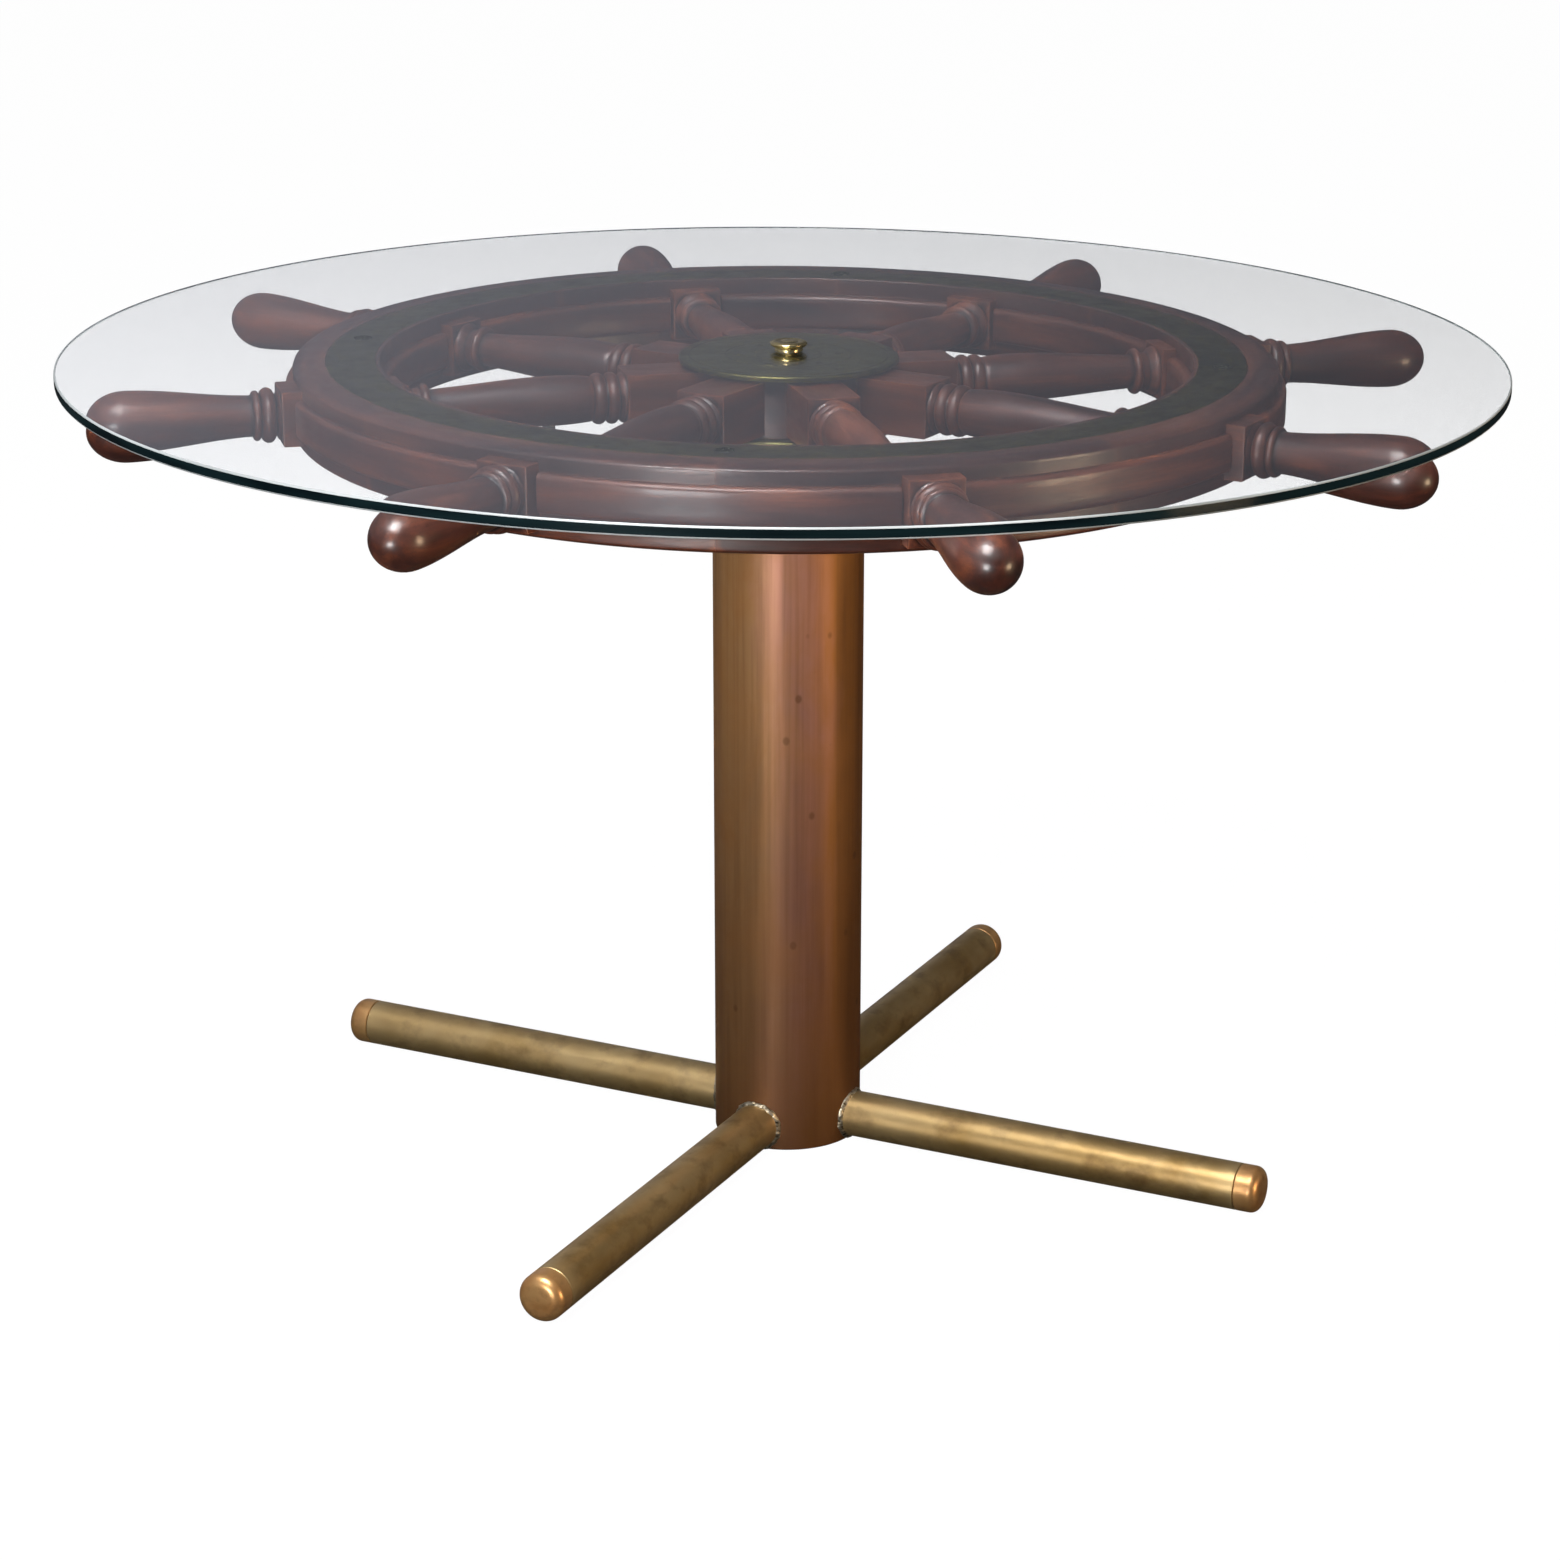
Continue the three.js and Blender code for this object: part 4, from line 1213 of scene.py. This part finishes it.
@dataclass
class Hub:
    """The nave, its two brass plates and the screws of the upper one."""

    steps: int = 96
    screws: int = 6
    lip: float = 0.0022
    groove_radii: tuple[float, ...] = (0.03, 0.057, 0.0905)
    groove_half: float = 0.0006
    groove_depth: float = 0.0005
    mortise: tuple[float, float] = (0.0617, 0.2)
    nave_edge: float = 0.001
    plate_edge: float = 0.0008
    upper_bore: float = 0.0068
    head_height: float = 0.0014
    head_slot: tuple[float, float] = (0.0011, 0.0009)
    head_turn: float = 40.0
    shank_steps: int = 16

    def nave(self) -> bmesh.types.BMesh:
        """The round wooden nave with its eight mortises."""
        wood = span_of("nave")
        bore = span_of("hub_bush").outer + FIT
        outline = bar_outline(bore, wood.outer, wood.low, wood.high, self.nave_edge)
        shape = swept(outline, self.steps, closed=True)
        slots = [turn(spoke_slot(*self.mortise, wood.middle), bearing_of(f"spoke_{number}"))
                 for number in range(1, SPOKES + 1)]
        return mark_grain(carve(shape, gather(slots)), lambda point: point.copy(), Seed.NAVE.value)

    def plate(self, node: str, bore: float, upper: bool) -> bmesh.types.BMesh:
        """A round brass plate with a rolled edge, and engraved circles where it is the upper one.

        Args:
            node: Its frame node.
            bore: Radius of its hole.
            upper: Whether it is the upper plate.

        Returns:
            The closed shape.
        """
        brass = span_of(node)
        outline = Outline(bore, brass.low).to(brass.outer - self.plate_edge, brass.low)
        outline.arc(brass.outer, brass.low + self.plate_edge, True, 3)
        outline.to(brass.outer, brass.high - self.lip)
        outline.arc(brass.outer - self.lip, brass.high, False, 6)
        for radius in reversed(self.groove_radii if upper else ()):
            outline.to(radius + self.groove_half, brass.high).to(radius, brass.high - self.groove_depth)
            outline.to(radius - self.groove_half, brass.high)
        outline.to(bore, brass.high)
        return swept(outline, self.steps, closed=True)

    def screw(self, node: str) -> bmesh.types.BMesh:
        """One slotted screw, head and shank."""
        lowest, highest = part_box(node)
        middle = (lowest + highest) / 2
        radius = (highest.x - lowest.x) / 2
        under = highest.z - self.head_height
        head = slotted_head(radius, self.head_height, *self.head_slot)
        bmesh.ops.translate(head, verts=head.verts, vec=(0, 0, under))
        outline = Outline(0, lowest.z).to(radius / 2, lowest.z + radius).to(radius / 2, under).to(0, under)
        shank = swept(outline, self.shank_steps)
        whole = gather([turn(head, middle.x * self.head_turn), shank])
        bmesh.ops.translate(whole, verts=whole.verts, vec=(middle.x, middle.y, 0))
        return whole

    def build(self) -> None:
        """Make every piece of the hub and dress the hidden ones."""
        add_piece("turned_nave", self.nave(), Body.WHEEL, [RIM_MAHOGANY], ("nave",))
        top = self.plate("hub_plate_top", self.upper_bore, True)
        add_piece("upper_hub_plate", top, Body.WHEEL, [PLATE_BRASS], ("hub_plate_top",))
        bottom = self.plate("hub_plate_bottom", span_of("hub_bush").outer + FIT, False)
        add_piece("lower_hub_plate", bottom, Body.WHEEL, [PLATE_BRASS], ("hub_plate_bottom",))
        for number in range(1, self.screws + 1):
            node = f"hub_screw_{number}"
            add_piece(f"plate_screw_{number}", self.screw(node), Body.WHEEL, [PLATE_BRASS], (node,))
        dress_node("hub_bush", BRIGHT_BRASS)


@dataclass
class Column:
    """The tube column and the thrust washer on its head."""

    steps: int = 128
    wall: float = 0.006
    edge: float = 0.0009
    washer_steps: int = 96
    washer_edge: float = 0.0006

    def tube(self) -> bmesh.types.BMesh:
        """The open tube."""
        tube = span_of("column_tube")
        inner = tube.outer - self.wall
        outline = bar_outline(inner, tube.outer, tube.low, tube.high, self.edge)
        return swept(outline, self.steps, closed=True)

    def thrust_washer(self) -> bmesh.types.BMesh:
        """The flat ring that the hub turns on."""
        washer = span_of("thrust_washer")
        outline = bar_outline(washer.inner, washer.outer, washer.low, washer.high, self.washer_edge)
        return swept(outline, self.washer_steps, closed=True)

    def build(self) -> None:
        """Make the column and dress what it hides."""
        add_piece("bronze_column", self.tube(), Body.PEDESTAL, [COLUMN_BRONZE], ("column_tube",))
        add_piece("brass_washer", self.thrust_washer(), Body.PEDESTAL, [PLATE_BRASS], ("thrust_washer",))
        for node in ("column_head_plate", "column_foot_plate"):
            dress_node(node, BRAZE)
        for node in ("spindle", "spindle_lock_nut", "spindle_washer", "spindle_nut"):
            dress_node(node, STEEL)


@dataclass
class Legs:
    """Four tube legs with rounded caps, brazed to the column."""

    count: int = 4
    steps: int = 64
    wall: float = 0.003
    levels: int = 16
    root_pull: float = 0.2
    seam: float = 0.0006
    cap_length: float = 0.023
    cap_round: float = 0.010
    cap_dome: float = 0.0006
    spigot: float = 0.012
    spigot_edge: float = 0.001
    bead_radius: float = 0.003
    bead_sides: int = 14
    bead_steps: int = 120
    bead_lumps: float = 0.0011
    lump_repeats: float = 160.0
    ripple_repeats: float = 420.0
    ripple_share: float = 0.5
    lump_step: float = 9.0
    floor_gap: float = 0.0004
    radius: float = field(init=False)
    reach: float = field(init=False)
    column_radius: float = field(init=False)

    def __post_init__(self) -> None:
        """Measure the frame."""
        lowest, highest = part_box("leg_1")
        self.radius = (highest.z - lowest.z) / 2
        self.reach = span_of("leg_cap_1").outer
        self.column_radius = span_of("column_tube").outer

    def cope(self, point: Vector, gap: float) -> float:
        """How far out the column's surface lies beside a point of a leg."""
        return math.sqrt(max((self.column_radius + gap) ** 2 - point.y ** 2, 0.0))

    def tube(self, number: int) -> bmesh.types.BMesh:
        """One tube, coped to the column.

        Args:
            number: Number of the leg.

        Returns:
            The closed shape.
        """
        radius, inner = self.radius, self.radius - self.wall
        end = self.reach - self.cap_length - self.seam / 2
        outline = Outline(inner, 0).to(radius, 0)
        for step in range(1, self.levels):
            outline.to(radius, end * step / self.levels)
        outline.to(radius, end - self.seam).to(radius - self.seam, end).to(inner, end)
        shape = swept(outline, self.steps, closed=True)
        lay_flat(shape, radius)
        for vert in shape.verts:
            if vert.co.x < TINY:
                vert.co.x = self.cope(vert.co, FIT)
            elif vert.co.x < self.column_radius:
                vert.co.x = self.column_radius + vert.co.x * self.root_pull
        mark_grain(shape, along_x(radius), number + Seed.LEG.value)
        return turn(shape, bearing_of(f"leg_cap_{number}"))

    def cap(self, number: int) -> bmesh.types.BMesh:
        """One rounded cap with the spigot that plugs it into the tube."""
        radius, inner = self.radius, self.radius - self.wall - FIT
        start = self.reach - self.cap_length + self.seam / 2
        outline = Outline(0, start - self.spigot).to(inner - self.spigot_edge, start - self.spigot)
        outline.to(inner, start - self.spigot + self.spigot_edge).to(inner, start)
        outline.to(radius - self.seam, start).to(radius, start + self.seam)
        outline.to(radius, self.reach - self.cap_round)
        outline.arc(radius - self.cap_round, self.reach - self.cap_dome, False, 8).to(0, self.reach)
        shape = lay_flat(swept(outline, self.steps), radius)
        mark_grain(shape, along_x(radius), number + Seed.CAP.value)
        return turn(shape, bearing_of(f"leg_cap_{number}"))

    def bead(self, number: int) -> bmesh.types.BMesh:
        """The lumpy bead of braze round the root of a leg."""
        ring = Outline(self.radius + self.bead_radius, 0)
        for step in range(1, self.bead_sides):
            angle = math.tau * step / self.bead_sides
            ring.to(self.radius + self.bead_radius * math.cos(angle), self.bead_radius * math.sin(angle))
        shape = swept(ring, self.bead_steps, closed=True)
        lay_flat(shape, self.radius)
        offset = number * self.lump_step
        for vert in shape.verts:
            lump = noise.noise(vert.co * self.lump_repeats + Vector((offset, 0, 0)))
            ripple = noise.noise(vert.co * self.ripple_repeats + Vector((0, offset, 0)))
            out = Vector((0, vert.co.y, vert.co.z - self.radius)).normalized()
            vert.co += out * self.bead_lumps * (lump + self.ripple_share * ripple)
            vert.co.x += self.cope(vert.co, 0.0) + self.bead_lumps * ripple
            vert.co.z = max(vert.co.z, self.floor_gap)
        mark_grain(shape, along_x(self.radius), number + Seed.BEAD.value)
        return turn(shape, bearing_of(f"leg_cap_{number}"))

    def build(self) -> None:
        """Make every leg."""
        for number in range(1, self.count + 1):
            leg, cap, bead = f"leg_{number}", f"leg_cap_{number}", f"braze_bead_{number}"
            add_piece(f"tube_leg_{number}", self.tube(number), Body.PEDESTAL, [TUBE_BRASS], (leg,))
            add_piece(f"rounded_cap_{number}", self.cap(number), Body.PEDESTAL, [CAP_COPPER], (cap,))
            add_piece(f"braze_{number}", self.bead(number), Body.PEDESTAL, [BRAZE], (bead,))


# ---------------------------------------------------------------------------------------------
# Studio
# ---------------------------------------------------------------------------------------------


@dataclass(frozen=True)
class Lamp:
    """A soft square lamp that faces the table."""

    name: str
    place: tuple[float, float, float]
    size: float
    watts: float
    colour: Colour = WHITE
    aim: tuple[float, float, float] = (0.0, 0.0, 0.5)

    def hang(self) -> None:
        """Put the lamp up."""
        data = bpy.data.lights.new(self.name, "AREA")
        data.shape = "SQUARE"
        data.size = self.size
        data.energy = self.watts
        data.color = self.colour
        lamp = put_in_scene(self.name, data)
        facing = (Vector(self.aim) - Vector(self.place)).to_track_quat("-Z", "Y")
        lamp.matrix_world = Matrix.Translation(self.place) @ facing.to_matrix().to_4x4()


@dataclass
class Studio:
    """Pale floor, pale surroundings, soft lamps and the camera.

    The floor and the surroundings look white, and the floor brightest behind glass. The floor gives
    the table no light. The surroundings light it dimly and are mirrored in it dimly.
    """

    camera_place: tuple[float, float, float] = (0.0044, -3.337, 1.4459)
    camera_heading: float = math.radians(2.4)
    camera_drop: float = math.radians(19.17)
    camera_roll: float = math.radians(0.88)
    camera_shift: tuple[float, float] = (-0.1026, 0.0417)
    focal_length: float = 85.88
    sensor_width: float = 36.0
    floor_size: float = 40.0
    floor_glow: float = 0.98
    behind_glass: float = 1.6
    floor_tone: float = 0.03
    floor_roughness: float = 0.9
    ambient: float = 0.16
    mirrored_left: float = 0.26
    mirrored_right: float = 0.06
    mirrored_slope: float = 0.2
    mirrored_colour: Colour = (0.88, 0.93, 1.1)
    lamps: tuple[Lamp, ...] = (
        Lamp("top", (-0.9, -1.9, 3.9), 1.7, 260.0),
        Lamp("key", (-1.6, -4.0, 0.56), 1.1, 95.0),
        Lamp("fill", (3.2, -1.8, 0.48), 0.9, 45.0, (1.0, 0.72, 0.45)),
    )

    @staticmethod
    def mirrored(recipe: Recipe) -> bpy.types.NodeSocket:
        """One where a ray was mirrored on its way, nought where it came straight or through glass."""
        return recipe.window(recipe.add("LightPath").outputs["Glossy Depth"], 0.0, 1.0)

    def floor(self) -> None:
        """Lay the floor."""
        shape = bmesh.new()
        bmesh.ops.create_grid(shape, x_segments=1, y_segments=1, size=self.floor_size / 2)
        mesh = mesh_of("floor", shape)
        recipe = Recipe("floor_paper")
        path = recipe.add("LightPath").outputs
        strays = recipe.sum(self.mirrored(recipe), path["Is Diffuse Ray"])
        straight = recipe.window(path["Is Transmission Ray"], 0.0, 1.0, self.floor_glow, self.behind_glass)
        glow = recipe.sum(straight, recipe.window(strays, 0.0, 1.0, 1.0, 0.0), "MULTIPLY")
        tone = self.floor_tone
        paper = recipe.principled(Base_Color=(tone, tone, tone, 1.0), Roughness=self.floor_roughness,
                                  Specular_IOR_Level=0.0, Emission_Color=(*WHITE, 1.0),
                                  Emission_Strength=glow)
        mesh.materials.append(recipe.finish(paper))
        put_in_scene("floor", mesh)

    def world(self) -> None:
        """Surround the table with white, dim where it lights the table and darker to the right in mirrors."""
        world = bpy.data.worlds.new("studio")
        recipe = Recipe("studio", world)
        direction = recipe.add("SeparateXYZ", Vector=recipe.add("TexCoord").outputs["Generated"]).outputs
        slope = recipe.window(direction["X"], -self.mirrored_slope, self.mirrored_slope,
                              self.mirrored_left, self.mirrored_right)
        seen, shed, mirrored = (
            recipe.add("Background", Color=(*colour, 1.0), Strength=strength).outputs[0]
            for colour, strength in ((WHITE, 1.0), (WHITE, self.ambient), (self.mirrored_colour, slope)))
        scattered = recipe.add("LightPath").outputs["Is Diffuse Ray"]
        straight = recipe.blend(scattered, seen, shed)
        surface = recipe.blend(self.mirrored(recipe), straight, mirrored)
        recipe.add("OutputWorld", Surface=surface)
        bpy.context.scene.world = world

    def camera(self) -> None:
        """Set the camera up."""
        data = bpy.data.cameras.new("camera")
        data.lens = self.focal_length
        data.sensor_width = self.sensor_width
        data.shift_x, data.shift_y = self.camera_shift
        camera = put_in_scene("camera", data)
        heading = Matrix.Rotation(-self.camera_heading, 4, "Z")
        drop = Matrix.Rotation(math.pi / 2 - self.camera_drop, 4, "X")
        roll = Matrix.Rotation(self.camera_roll, 4, "Z")
        camera.matrix_world = Matrix.Translation(self.camera_place) @ heading @ drop @ roll
        bpy.context.scene.camera = camera

    def build(self) -> None:
        """Set the studio up."""
        self.camera()
        self.floor()
        self.world()
        for lamp in self.lamps:
            lamp.hang()
        bpy.context.scene.view_settings.view_transform = "Standard"
        log.info("studio: %d lamps", len(self.lamps))


def main() -> None:
    """Build the table and its studio round the frame."""
    logging.basicConfig(level=logging.INFO, format="%(name)s %(message)s")
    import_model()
    Studio().build()
    for assembly in (GlassTop(), Rim(), Spokes(), Hub(), Column(), Legs()):
        assembly.build()


if __name__ == "__main__":
    main()
